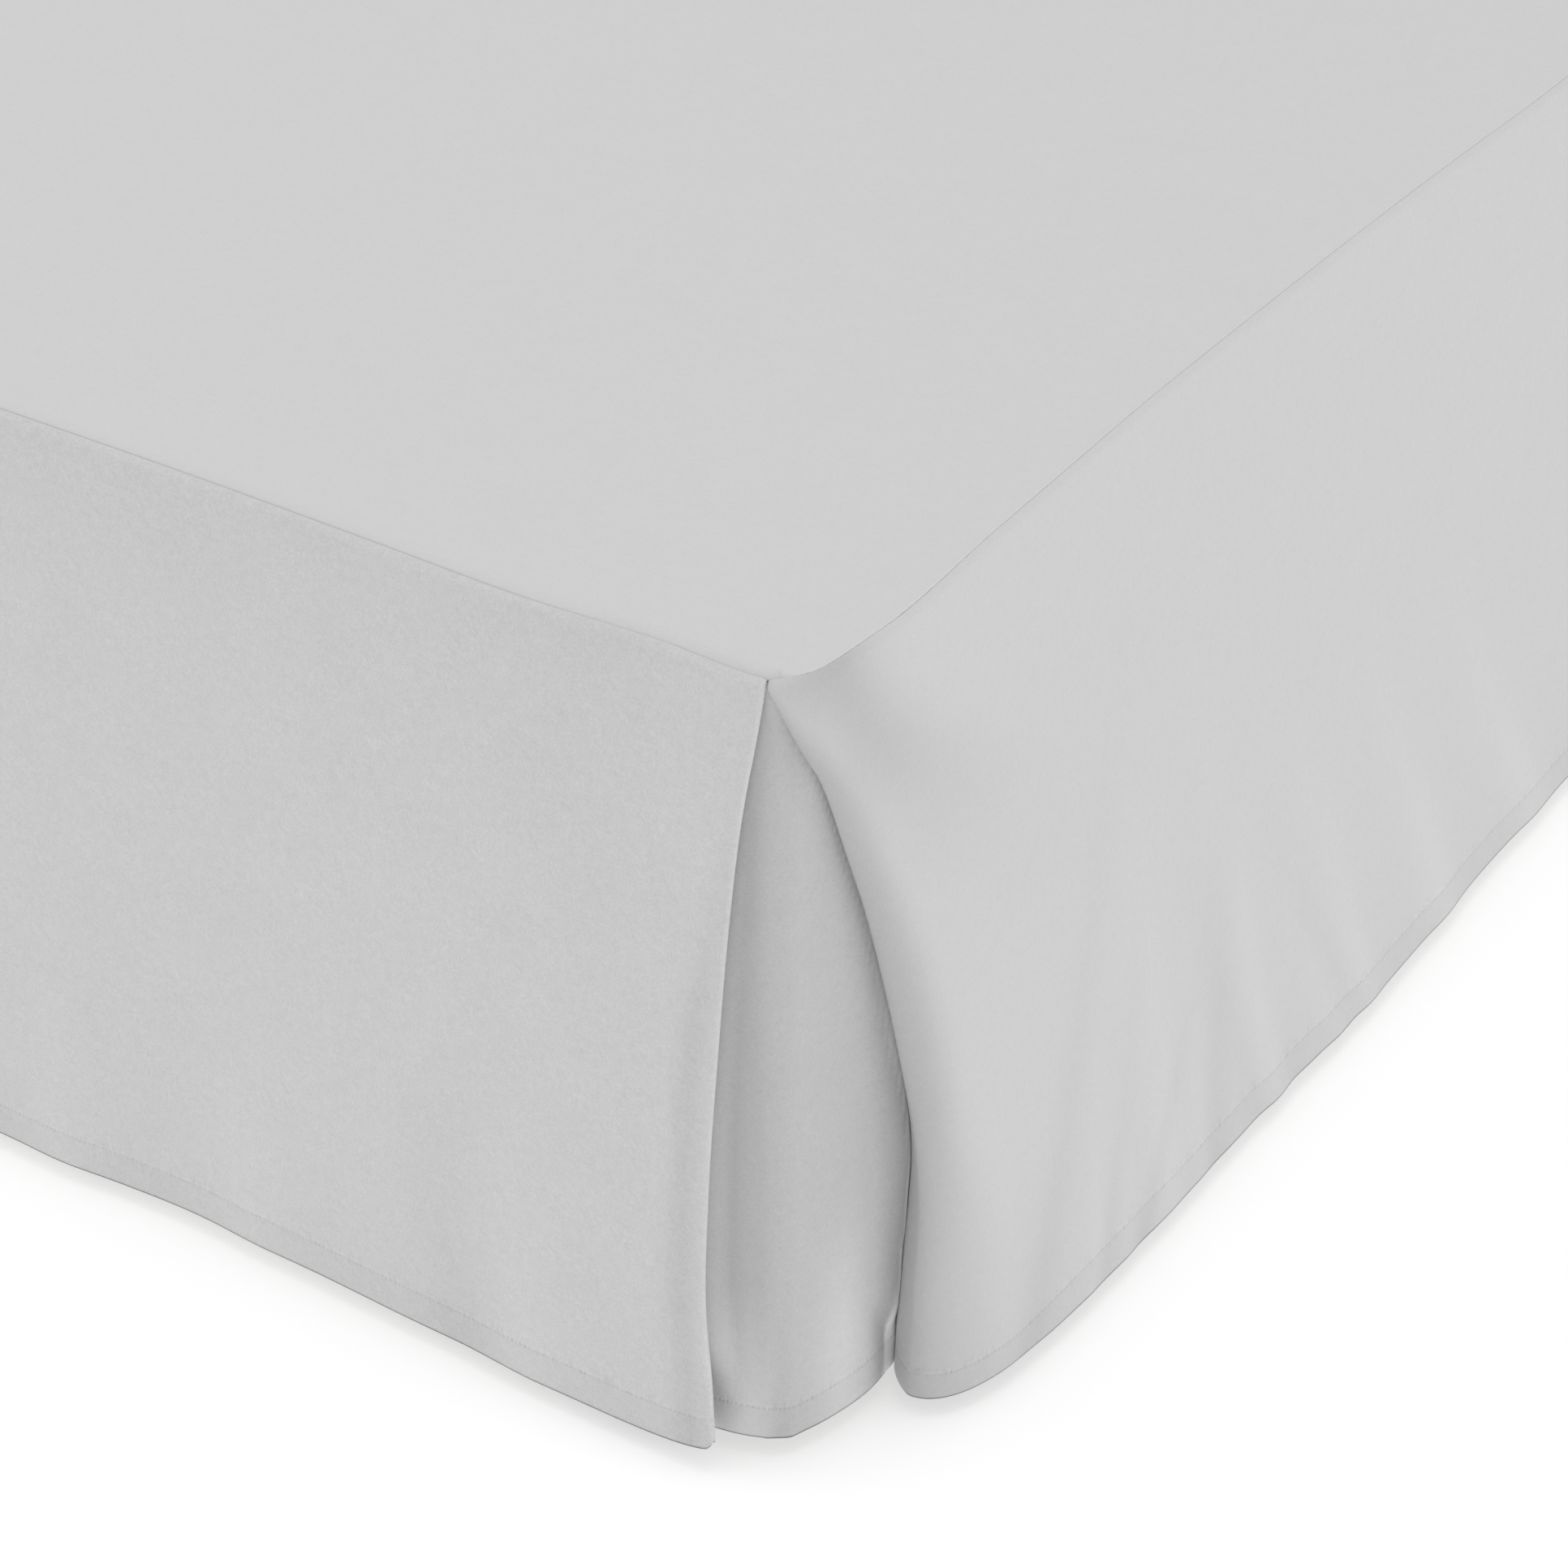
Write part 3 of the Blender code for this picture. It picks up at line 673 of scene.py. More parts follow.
def pleated_drop(fold, crease, columns, lean):
    """Half a drop, from the pleat's inner crease round its fold and on over its columns.

    Returns the distance along the seam, the distance out of it and the height on a grid of columns by
    rows, how far each point lies past the fold, which is less than nothing behind it, and how settled it
    is. From the fold the cloth settles on its layer: out = fold_out + (layer - fold_out) settled, and
    behind it the layer is reached at the crease.
    """
    down = rows_down()
    outer_out, outer_height = rolled_rows(ROLL_OUT)
    inner_out, inner_height = rolled_rows(LAYER_OUT)
    fold_at = read(fold, "down", "fold_at", down)
    fold_out = (outer_out + inner_out) / 2 + read(fold, "down", "fold_out", down)
    crease_out = crease["out"] * down**CREASE_SWING

    share = np.linspace(1, 0, RETURN_COLUMNS + 1)[:, None] ** RETURN_CROWDING
    back_along = fold_at + (crease["at"] - fold_at) * share
    start = inner_out + read(fold, "down", "back_out", down)
    layer = start + (inner_out + crease_out - start) * share
    settled_back = settle(back_along - fold_at, fold, "back", down)
    settled_back /= settled_back[0]
    back_out = fold_out + (layer - fold_out) * settled_back

    front_along = np.concatenate([fan_columns(fold_at), columns + 0 * down])
    settled = settle(front_along - fold_at, fold, "front", down)
    front_out = fold_out + (outer_out + lean(front_along, down) - fold_out) * settled

    along = np.concatenate([back_along, front_along])
    out = np.concatenate([back_out, front_out]) + stray(along, down, fold is SIDE_FOLD)
    outer = np.concatenate([(1 - settled_back) / 2, (1 + settled) / 2])
    past = along - fold_at
    return along, out, inner_height + (outer_height - inner_height) * outer, past, 2 * np.abs(outer - 0.5)


def leaning(hem_table, swing, relief):
    """A drop's lean, as a function of the distance along the seam and the share of the way down.

    The lean is the hem's distance out of the roll * down^swing, plus the relief.
    """

    def lean(along, down):
        hem = read(hem_table, "at", "out", along / MM) - ROLL_OUT
        return hem * down**swing + relief(along, down)

    return lean


def lie_of(side_name):
    """How far a side's ridges and troughs are moved, and their share of the height."""
    return (0.0, 1.0) if side_name == "right" else (LEFT_SHIFT, LEFT_HEIGHT)


def soft_relief(ripple_table, side_name, dent):
    """The relief of a drop, as a function of the same two: its soft ridges and troughs, less its dent."""

    def relief(along, down):
        return ripples(ripple_table, "height", along, down, *lie_of(side_name)) - dent(along, down)

    return relief


def cloth_place(points, down):
    """The cloth's own coordinates: metres along its middle row, up from its hem, and above a level hem."""
    middle = points[:, points.shape[1] // 2]
    steps = np.linalg.norm(np.diff(middle, axis=0), axis=1)
    run = np.concatenate([[0], np.cumsum(steps)])[:, None]
    rises = np.linalg.norm(np.diff(points, axis=1), axis=2).mean(axis=0)
    rise = np.concatenate([[0], np.cumsum(rises[::-1])])[::-1]
    return run + 0 * rise, rise + 0 * run, above_hem(down) + 0 * run


def side_drop(side_name):
    """A side drop's grid, between its pleat's inner crease and the head, and the painted light and shade on
    it.
    """
    side = SIDES[side_name]
    relief = soft_relief(SIDE_RIPPLES, side_name, hollow)
    columns = far_columns(SIDE_NEAR, SIDE_RUN, SIDE_FAR_STEP)
    lean = leaning(SIDE_HEM, SIDE_SWING, relief)
    along, out, height, past, settled = pleated_drop(SIDE_FOLD, SIDE_CREASE, columns, lean)
    height -= shallow_drop(along, rows_down())
    points = np.stack([*on_seam(along, out, side), height], axis=-1)
    # Painted light on the soft ridges and painted shade in the troughs.
    nap_and_painted_light = ripples(SIDE_RIPPLES, "tone", along, rows_down(), *lie_of(side_name))
    crisp = read(SIDE_FOLD, "down", "front_crisp", rows_down()) / MM
    crisp = np.clip((crisp - ROUND_CRISP) / (FLAT_CRISP - ROUND_CRISP), 0, 1)
    flat = ROUND_FACET + (1 - ROUND_FACET) * crisp
    # Painted shade on the bend and on the facet beside the fold.
    nap_and_painted_light += BEND_SHADE_TONE * (1 - settled) + FACET_SHADE_TONE * flat * (1 - settled**FACET_POWER) ** 2
    # Painted light on the return, which lightens the shade behind the fold.
    nap_and_painted_light += (RETURN_FILL_LIGHT_TONE - nap_and_painted_light) * ramp(-past, 0, RETURN_TURN)
    # Painted shade in the hollow beside the corner.
    nap_and_painted_light -= hollow(along, rows_down(), ("at", "shade", "shade_width"))
    return points[::-side], nap_and_painted_light[::-side]


def foot_drop():
    """Both halves of the foot drop, joined at its middle column, and the painted light and shade on them."""
    halves, naps = [], []
    for side_name, side in SIDES.items():
        relief = soft_relief(FOOT_RIPPLES, side_name, lambda along, down: 0)
        columns = far_columns(FOOT_NEAR, FOOT_RUN, FOOT_FAR_STEP)
        lean = leaning(FOOT_HEM, FOOT_SWING, relief)
        along, out, height, past, settled = pleated_drop(FOOT_FOLD, FOOT_CREASE, columns, lean)
        height += tip_lift(past, rows_down())
        halves.append(np.stack([*on_seam(-along, out, side), height], axis=-1))
        # Painted light on the soft ridges and painted shade in the troughs.
        nap_and_painted_light = ripples(FOOT_RIPPLES, "tone", along, rows_down(), *lie_of(side_name))
        # Painted highlight along the pressed fold and painted shade on the strip beside it.
        nap_and_painted_light += fold_highlight_and_shade(np.abs(past), rows_down())
        # Painted shade below the foot's seam.
        below_seam_shade = BELOW_SEAM_SHADE_TONE * np.exp(-rows_down() / BELOW_SEAM_REACH)
        # Painted light on the return, deep in the pleat.
        nap_and_painted_light += np.where(past < 0, POCKET_FILL_LIGHT_TONE * settled, 0) + below_seam_shade
        naps.append(nap_and_painted_light)
    right, left = halves
    right[-1] = (right[-1] + left[-1]) / 2
    return np.concatenate([right, left[-2::-1]]), np.concatenate([naps[0], naps[1][-2::-1]])


def fold_highlight_and_shade(past, down):
    """A painted highlight along a pressed fold's edge, and painted shade on the flatter strip that widens
    beside it.
    """
    start, end = PRESSED_FROM
    grown = np.clip((down - start) / (end - start), 0, 1)
    edge = FOLD_EDGE_HIGHLIGHT_TONE * bell(past, 0, FOLD_EDGE_HIGHLIGHT_REACH)
    return edge + PRESSED_STRIP_SHADE_TONE * grown * bell(past, PRESSED_AT * grown, PRESSED_REACH)


def underlay_out(along, down):
    """How far an underlay stands out: its hem's lean * down^swing, then up against each return, then
    pinched to it: out + (line behind the return - out) * nestled, and the same by the pinch.
    """
    hem = read(UNDERLAY_HEM, "at", "out", along / MM)
    out = -LAYER_OUT + (hem + LAYER_OUT) * down**UNDERLAY_SWING
    low = ramp(down, *NESTLE_END_ROWS)
    gap = NESTLE_GAP + (HEM_NESTLE_GAP - NESTLE_GAP) * low + TOP_GAP * np.exp(-down / TOP_GAP_REACH)
    side_nestle = between(SIDE_NESTLE, SIDE_HEM_NESTLE, ramp(down, *SIDE_NESTLE_ROWS))
    for fold, crease, sign, nestle, touch, held in (
        (SIDE_FOLD, SIDE_CREASE, 1, side_nestle, SIDE_TOUCH, 1),
        (FOOT_FOLD, FOOT_CREASE, -1, FOOT_NESTLE, FOOT_TOUCH, 1 - low),
    ):
        nestled = ramp(sign * along - read(fold, "down", "fold_at", down), *nestle) * held
        out += (behind_return(fold, crease, sign * along, down, touch, gap) - out) * nestled
    for crease, sign in ((FOOT_CREASE, -1), (SIDE_CREASE, 1)):
        sewn_on = LAYER_OUT + crease["out"] * down**CREASE_SWING - 2 * HEM_BACK
        near = np.clip(1 - (crease["at"] - sign * along) / PINCH, 0, 1)
        out += (sewn_on - out) * near
    return out + stray(along, down, along > 0)


def between(high, lower, share):
    """Each place of `high` moved to that of `lower` by a share: high + (lower - high) * share."""
    return [start + (end - start) * share for start, end in zip(high, lower)]


def underlay_painted_light(along, down):
    """The painted light and shade on an underlay: its ridge's highlight, light in its pockets and low down,
    and its band's shade.
    """
    # Painted highlight on the underlay's ridge.
    nap_and_painted_light = RIDGE_HIGHLIGHT_TONE * bell(along, RIDGE_AT, RIDGE_REACH) * ramp(down, *RIDGE_ROWS)
    side_pocket = between(SIDE_POCKET, SIDE_LOW_POCKET, ramp(down, *SIDE_POCKET_ROWS))
    # Painted light in the pocket behind each fold.
    for fold, sign, (start, end), tone in (
        (FOOT_FOLD, -1, FOOT_POCKET, FOOT_POCKET_FILL_LIGHT_TONE),
        (SIDE_FOLD, 1, side_pocket, POCKET_FILL_LIGHT_TONE),
    ):
        behind = sign * along - read(fold, "down", "fold_at", down)
        nap_and_painted_light += tone * np.clip((behind - start) / (end - start), 0, 1) ** 2
    # Painted light low beside the foot's fold.
    nap_and_painted_light += LOW_FILL_LIGHT_TONE * bell(along, LOW_LIFT_AT, LOW_LIFT_REACH) * ramp(down, *LOW_LIFT_ROWS)
    # Painted shade in a band beside the side's fold.
    past = along - read(SIDE_FOLD, "down", "fold_at", down)
    held = ramp(down, *BAND_ROWS) * (1 - ramp(down, *BAND_END_ROWS))
    nap_and_painted_light += BAND_SHADE_TONE * bell(past, BAND_AT, BAND_REACH) * held
    # Painted light at the top, deep under the seam.
    return nap_and_painted_light + POCKET_FILL_LIGHT_TONE * np.exp(-down / TOP_POCKET_REACH)


def underlay(side_name):
    """The piece behind an open pleat: it hangs from under the roll round the corner, crease to crease.

    Returns its grid, and the painted light and shade on it.
    """
    down = rows_down()[UNDERLAY_FIRST_ROW:]
    height = rolled_rows(LAYER_OUT)[1][UNDERLAY_FIRST_ROW:]
    height[0] = DECK_HEIGHT - UNDERLAY_TUCK
    along = np.linspace(-FOOT_CREASE["at"], SIDE_CREASE["at"], UNDERLAY_COLUMNS)[:, None] + 0 * down
    side = SIDES[side_name]
    x, y = on_seam(along, underlay_out(along, down), side)
    points = np.stack([x, y, height + 0 * along], axis=-1)
    return points[::-side], underlay_painted_light(along, down)[::-side]


def hem_profile(rows):
    """How far the front and the back stand off the middle surface, for the last `rows` rows of a drop.

    Each goes from half the cloth to the hem's by 1 / (1 + exp((above - depth) / step)), less a bell where
    the stitches sink the front, and times the root of above / round at the bottom edge.
    """
    above = above_hem(rows_down()[-rows:])
    in_hem = 1 / (1 + np.exp(np.minimum((above - HEM_DEPTH) / HEM_STEP, EXPONENT_LIMIT)))
    sunk = STITCH_SINK * bell(above, HEM_DEPTH, STITCH_SINK_REACH)
    edge = np.sqrt(np.clip(above / EDGE_ROUND, EDGE_LEAST, 1))
    front = (HALF_CLOTH + (HEM_FRONT - HALF_CLOTH) * in_hem - sunk) * edge
    return front, (HALF_CLOTH + (HEM_BACK - HALF_CLOTH) * in_hem) * edge


def sheet_mesh(name, points, front, back, place, nap_and_painted_light):
    """A closed sheet from a grid of columns by rows: a face on each side and a rim.

    The front lies where columns x rows points. `place` holds three grids, the metres along the cloth, up
    it and in from its nearest turned edge, and the last argument its painted light and shade, as a share of
    its tone; both are attributes.
    """
    across = np.gradient(points, axis=0)
    along = np.gradient(points, axis=1)
    normal = np.cross(across, along)
    normal /= np.linalg.norm(normal, axis=-1, keepdims=True)
    columns, rows = points.shape[:2]
    index = np.arange(columns * rows).reshape(columns, rows)
    a, b = index[:-1, :-1].ravel(), index[1:, :-1].ravel()
    c, d = index[1:, 1:].ravel(), index[:-1, 1:].ravel()
    count = columns * rows
    rim = np.concatenate([index[:, 0], index[-1, 1:], index[-2::-1, -1], index[0, -2:0:-1]])
    ahead = np.roll(rim, -1)
    faces = np.concatenate(
        [
            np.stack([a, b, c, d], axis=1),
            np.stack([d, c, b, a], axis=1) + count,
            np.stack([ahead, rim, rim + count, ahead + count], axis=1),
        ]
    )
    both = np.concatenate([points + normal * front[..., None], points - normal * back[..., None]])
    mesh = bpy.data.meshes.new(name)
    mesh.from_pydata(both.reshape(-1, 3).tolist(), [], faces.tolist())
    mesh.shade_smooth()
    keep(mesh, "cloth_place", "FLOAT_VECTOR", "vector", np.stack(place, axis=-1))
    # The painted light and shade, which the cloth's material adds to its tone.
    keep(mesh, "nap_and_painted_light", "FLOAT", "value", nap_and_painted_light)
    return mesh


def keep(mesh, name, kind, field, values):
    """Keeps a grid of values as an attribute, the same on the front and on the back."""
    both = np.concatenate([values, values]).astype(np.float32)
    mesh.attributes.new(name, kind, "POINT").data.foreach_set(field, both.ravel())


def add_piece(name, mesh, material):
    """A piece of the part, which rides on its one body."""
    piece = bpy.data.objects.new(name, mesh)
    mesh.materials.append(material)
    bpy.context.scene.collection.objects.link(piece)
    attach(piece, "root")
    return piece


def add_side_drop(side_name, material):
    """A long side's drop: turned up at the bottom and at the head."""
    points, nap_and_painted_light = side_drop(side_name)
    front, back = hem_profile(points.shape[1])
    run, rise, above = cloth_place(points, rows_down())
    to_head = np.where(SIDES[side_name] > 0, run, run.max() - run)
    place = (run, rise, np.minimum(above, to_head))
    mesh = sheet_mesh(f"side_cloth_{side_name}", points, front, back, place, nap_and_painted_light)
    piece = add_piece(mesh.name, mesh, material)
    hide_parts(f"side_drop_{side_name}")


def add_foot_drop(material):
    """The drop across the foot, with a pressed fold at each end."""
    points, nap_and_painted_light = foot_drop()
    front, back = hem_profile(points.shape[1])
    mesh = sheet_mesh("foot_cloth", points, front, back, cloth_place(points, rows_down()), nap_and_painted_light)
    piece = add_piece(mesh.name, mesh, material)
    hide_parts("foot_drop")


def add_underlay(side_name, material):
    """The piece that closes a corner behind its pleat."""
    points, nap_and_painted_light = underlay(side_name)
    rows = points.shape[1]
    front, back = hem_profile(rows)
    place = cloth_place(points, rows_down()[-rows:])
    mesh = sheet_mesh(f"underlay_cloth_{side_name}", points, front, back, place, nap_and_painted_light)
    piece = add_piece(mesh.name, mesh, material)
    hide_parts(f"pleat_underlay_{side_name}")


def deck_lines(half):
    """Grid lines across a deck of half width `half`: close together at its edges, evenly apart inside."""
    edge = half - np.array(DECK_EDGE_ROWS) * MM
    inside = np.linspace(-edge[-1], edge[-1], round(2 * edge[-1] / DECK_STEP) + 1)[1:-1]
    return np.concatenate([-edge, inside, edge[::-1]])


def deck_points():
    """The deck's grid of columns by rows: a rectangle whose foot corners are drawn in to quarter circles.

    A corner's square maps to its quarter disc by (s, t) -> (s, t) max(s, t) / |(s, t)|. The sewn edges
    follow the seam's strays and roll down into the seam; the rest lies in faint swells. Returns the grid,
    and the painted shade beside the foot's seam, a dark line along it, and painted light along each side's
    seam.
    """
    half_x, half_y = DECK_WIDTH / 2, DECK_LENGTH / 2
    middle_y = (FOOT_Y + HEAD_Y) / 2
    x, y = np.meshgrid(deck_lines(half_x), deck_lines(half_y), indexing="ij")
    in_x = half_x - np.abs(x)
    in_foot = half_y + y
    inset = np.minimum(in_x, in_foot)

    s = np.clip(1 - in_x / DECK_CORNER, 0, 1)
    t = np.clip(1 - in_foot / DECK_CORNER, 0, 1)
    pull = np.where((s > 0) & (t > 0), np.maximum(s, t) / np.maximum(np.hypot(s, t), TINY), 1)
    x = np.sign(x) * np.where(s * t > 0, half_x - DECK_CORNER + DECK_CORNER * s * pull, np.abs(x))
    y = np.where(s * t > 0, -half_y + DECK_CORNER - DECK_CORNER * t * pull, y)

    follow = np.clip(1 - inset / STRAY_REACH, 0, 1) ** 2
    on_side = in_x < in_foot
    along = np.maximum(np.where(on_side, in_foot, in_x) - DECK_CORNER + HALF_ARC, 0)
    shift = stray(along, 0, on_side) * follow * np.clip(np.abs(in_x - in_foot) / DECK_CORNER, 0, 1)
    x += np.where(on_side, np.sign(x) * shift, 0)
    y -= np.where(on_side, 0, shift)

    corner = np.exp(-np.hypot(in_x, in_foot) / CORNER_SAG_REACH)
    curl_reach = np.where(on_side, DECK_CURL_REACH, FOOT_CURL_REACH)
    z = DECK_HEIGHT - HALF_CLOTH - DECK_CURL * np.exp(-inset / curl_reach)
    z -= CORNER_SAG * corner * np.exp(-in_foot / CORNER_SAG_DEPTH)
    z -= DECK_SWELL * (1 + swells(x, y)) / 2 * np.clip(inset / SWELL_START, 0, 1)
    # Painted shade on the deck beside the foot's seam, more of it near the corner.
    nap_and_painted_light = (SEAM_SHADE_TONE + SEAM_CORNER_SHADE_TONE * corner) * bell(in_foot, 0, SEAM_REACH)
    # A dark line along the foot's seam, and painted light along each side's seam that lightens its groove.
    line = np.where(on_side, SIDE_SEAM_FILL_LIGHT, FOOT_SEAM_LINE)
    line_reach = np.where(on_side, SIDE_SEAM_FILL_LIGHT_REACH, FOOT_SEAM_LINE_REACH)
    nap_and_painted_light += line * bell(inset, 0, line_reach)
    return np.stack([x, y + middle_y, z], axis=-1), nap_and_painted_light


def swells(x, y):
    """Faint uneven swells between -1 and 1: a few crossing waves."""
    total = sum(np.sin(x * across + y * along + phase) for across, along, phase in SWELL_WAVES)
    return total / len(SWELL_WAVES)


def add_deck(material):
    """The flat panel that lies on the box spring, turned up at the head only."""
    points, nap_and_painted_light = deck_points()
    half = np.full(points.shape[:2], HALF_CLOTH)
    run, rise = points[..., 0], HEAD_Y - points[..., 1]
    mesh = sheet_mesh("deck_cloth", points, half, half, (run, rise, rise), nap_and_painted_light)
    piece = add_piece(mesh.name, mesh, material)
    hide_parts("deck_panel")


def add_node(tree, kind, settings=None, **inputs):
    """A shader node with its settings and inputs; an input given a socket is linked to it."""
    made = tree.nodes.new(kind)
    for name, value in (settings or {}).items():
        setattr(made, name, value)
    for name, value in inputs.items():
        fill(tree, made.inputs[name.replace("_", " ")], value)
    return made


def fill(tree, socket, value):
    """Links a socket to another, or sets its value."""
    if isinstance(value, bpy.types.NodeSocket):
        tree.links.new(value, socket)
    else:
        socket.default_value = value


def calc(tree, operation, *values):
    """The result of a Math node."""
    made = add_node(tree, "ShaderNodeMath", {"operation": operation})
    for socket, value in zip(made.inputs, values):
        fill(tree, socket, value)
    return made.outputs[0]


def noise(tree, vector, pattern):
    """One of the patterns: noise around zero, between about -0.5 and 0.5."""
    scale, detail, stretch = PATTERNS[pattern]
    placed = add_node(tree, "ShaderNodeMapping", Vector=vector, Scale=stretch)
    texture = add_node(tree, "ShaderNodeTexNoise", Vector=placed.outputs[0], Scale=scale, Detail=detail)
    return calc(tree, "SUBTRACT", texture.outputs["Fac"], 0.5)


def bell_of(tree, value, middle, width):
    """A bell of a socket's value: exp(-((value - middle) / width)^2)."""
    off = calc(tree, "DIVIDE", calc(tree, "SUBTRACT", value, middle), width)
    return calc(tree, "EXPONENT", calc(tree, "MULTIPLY", calc(tree, "MULTIPLY", off, off), -1.0))


def cut_off(tree, value, softness):
    """What of a value lies above nothing: its smooth maximum with 0."""
    return calc(tree, "SMOOTH_MAX", value, 0.0, softness)


def weighted(tree, *terms):
    """The sum of factor times value over the terms."""
    total = 0.0
    for factor, value in terms:
        total = calc(tree, "MULTIPLY_ADD", value, factor, total)
    return total


def new_material(name):
    """A material with a Principled shader, and its tree."""
    material = bpy.data.materials.new(name)
    material.use_nodes = True
    tree = material.node_tree
    return material, tree, tree.nodes["Principled BSDF"]


def finish(tree, shader, colour, tone, height, **plain):
    """Gives a shader a colour times its tone, a surface from heights in metres, and its plain inputs."""
    toned = add_node(tree, "ShaderNodeVectorMath", {"operation": "SCALE"}, Vector=colour, Scale=tone)
    bump = add_node(tree, "ShaderNodeBump", Height=height, Distance=1.0)
    fill(tree, shader.inputs["Base Color"], toned.outputs[0])
    fill(tree, shader.inputs["Normal"], bump.outputs[0])
    for name, value in plain.items():
        fill(tree, shader.inputs[name.replace("_", " ")], value)


def brushed_cloth(name, lightness, mottle, creasing):
    """Light grey brushed microfibre.

    Its fibres, pile, patches, press creases, hem stitches and the puckers round them have heights and
    tones, and the painted light and shade each piece carries is added to its tone. `lightness` is the tone
    of the whole, set lower on pieces that stand in more shade, which is painted shade; `mottle` scales the
    pile's tones and `creasing` the press creases.
    """
    material, tree, shader = new_material(name)
    at = add_node(tree, "ShaderNodeTexCoord").outputs["Object"]
    place = add_node(tree, "ShaderNodeAttribute", {"attribute_name": "cloth_place"}).outputs["Vector"]
    painted_light_and_shade = add_node(tree, "ShaderNodeAttribute", {"attribute_name": "nap_and_painted_light"}).outputs["Fac"]
    run, _, hem = add_node(tree, "ShaderNodeSeparateXYZ", Vector=place).outputs

    fibres = noise(tree, at, "fibres")
    nap_and_painted_light = noise(tree, at, "nap_and_painted_light")
    patches = noise(tree, at, "patches")
    crease = noise(tree, place, "creases")
    pressed = cut_off(tree, calc(tree, "SUBTRACT", crease, CREASE_LEAST), SHARP_CUT)

    stitched = bell_of(tree, hem, HEM_DEPTH, STITCH_REACH)
    thread = calc(tree, "SINE", calc(tree, "MULTIPLY", run, 2 * math.pi / STITCH_PITCH))
    gap = calc(tree, "SMOOTH_MIN", thread, 0.0, STITCH_CUT)
    tight = cut_off(tree, noise(tree, place, "tight stitches"), SOFT_CUT)
    hole_shade = calc(
        tree, "MULTIPLY", calc(tree, "MULTIPLY", stitched, tight), calc(tree, "SUBTRACT", 1.0, gap)
    )
    dashes = cut_off(tree, noise(tree, place, "dashes"), SHARP_CUT)
    drawn_in_shade = calc(tree, "MULTIPLY", dashes, bell_of(tree, hem, HEM_DEPTH + DASH_ABOVE, DASH_REACH))
    puckers = calc(
        tree, "MULTIPLY", noise(tree, place, "puckers"), bell_of(tree, hem, HEM_DEPTH, PUCKER_REACH)
    )
    turned_up = calc(tree, "LESS_THAN", hem, HEM_DEPTH)
    blotches = cut_off(tree, noise(tree, place, "blotches"), SOFT_CUT)

    height = weighted(
        tree,
        (FIBRE_HEIGHT, fibres),
        (NAP_HEIGHT, nap_and_painted_light),
        (PATCH_HEIGHT, patches),
        (CREASE_HEIGHT * creasing, pressed),
        (PUCKER_HEIGHT, puckers),
        (STITCH_HEIGHT, calc(tree, "MULTIPLY", gap, stitched)),
    )
    tone = weighted(
        tree,
        (FIBRE_TONE * mottle, fibres),
        (NAP_TONE * mottle, nap_and_painted_light),
        (PATCH_TONE * mottle, patches),
        # Painted shade in the press creases.
        (CREASE_SHADE_TONE * creasing, pressed),
        # Painted shade at the stitches and on the turned hem, a painted highlight on the ledge, and a painted
        # shadow along the bottom edge.
        (HOLE_SHADE_TONE, hole_shade),
        (DASH_SHADE_TONE, drawn_in_shade),
        (LEDGE_HIGHLIGHT_TONE, bell_of(tree, hem, HEM_DEPTH + LEDGE_ABOVE, LEDGE_REACH)),
        (TURNED_SHADE_TONE, turned_up),
        (BLOTCH_SHADE_TONE, calc(tree, "MULTIPLY", turned_up, blotches)),
        (HEM_EDGE_SHADOW_TONE, bell_of(tree, hem, 0.0, HEM_EDGE_SHADOW_REACH)),
        # The painted light and shade that the piece carries.
        (1.0, painted_light_and_shade),
        (lightness, 1.0),
    )
    finish(
        tree,
        shader,
        CLOTH_GREY,
        tone,
        height,
        Roughness=0.95,
        Specular_IOR_Level=0.15,
        Sheen_Weight=0.15,
        Sheen_Roughness=0.6,
    )
    return material


def woven_ticking(name):
    """Off-white cotton ticking over padding: a fine twill with a faint rib."""
    material, tree, shader = new_material(name)
    at = add_node(tree, "ShaderNodeTexCoord").outputs["Object"]
    x, y, z = add_node(tree, "ShaderNodeSeparateXYZ", Vector=at).outputs
    level = calc(tree, "ADD", x, y)
    slanting = calc(tree, "ADD", level, z)
    twill = calc(tree, "SINE", calc(tree, "MULTIPLY", slanting, 2 * math.pi / TWILL_PITCH))
    rib = calc(tree, "SINE", calc(tree, "MULTIPLY", level, 2 * math.pi / RIB_PITCH))
    ribbed = cut_off(tree, calc(tree, "SUBTRACT", rib, RIB_LEAST), SHARP_CUT)
    slubs = noise(tree, at, "slubs")
    padding = noise(tree, at, "padding")
    height = weighted(
        tree,
        (TWILL_HEIGHT, twill),
        (SLUB_HEIGHT, slubs),
        (PADDING_HEIGHT, padding),
        (RIB_HEIGHT, ribbed),
    )
    tone = weighted(
        tree, (TWILL_TONE, twill), (SLUB_TONE, slubs), (PADDING_TONE, padding), (RIB_TONE, ribbed), (1.0, 1.0)
    )
    finish(
        tree, shader, TICKING_WHITE, tone, height, Roughness=0.85, Specular_IOR_Level=0.2, Sheen_Weight=0.1
    )
    return material


def stained_wood(name):
    """Dark stained wood with its grain running up the leg."""
    material, tree, shader = new_material(name)
    at = add_node(tree, "ShaderNodeTexCoord").outputs["Object"]
    grain = noise(tree, at, "grain")
    pores = noise(tree, at, "pores")
    tone = weighted(tree, (GRAIN_TONE, grain), (PORE_TONE, pores), (1.0, 1.0))
    height = weighted(tree, (GRAIN_HEIGHT, grain), (PORE_HEIGHT, pores))
    rough = calc(tree, "MULTIPLY_ADD", grain, GRAIN_ROUGHNESS, WOOD_ROUGHNESS)
    finish(tree, shader, LEG_BROWN, tone, height, Roughness=rough)
    return material


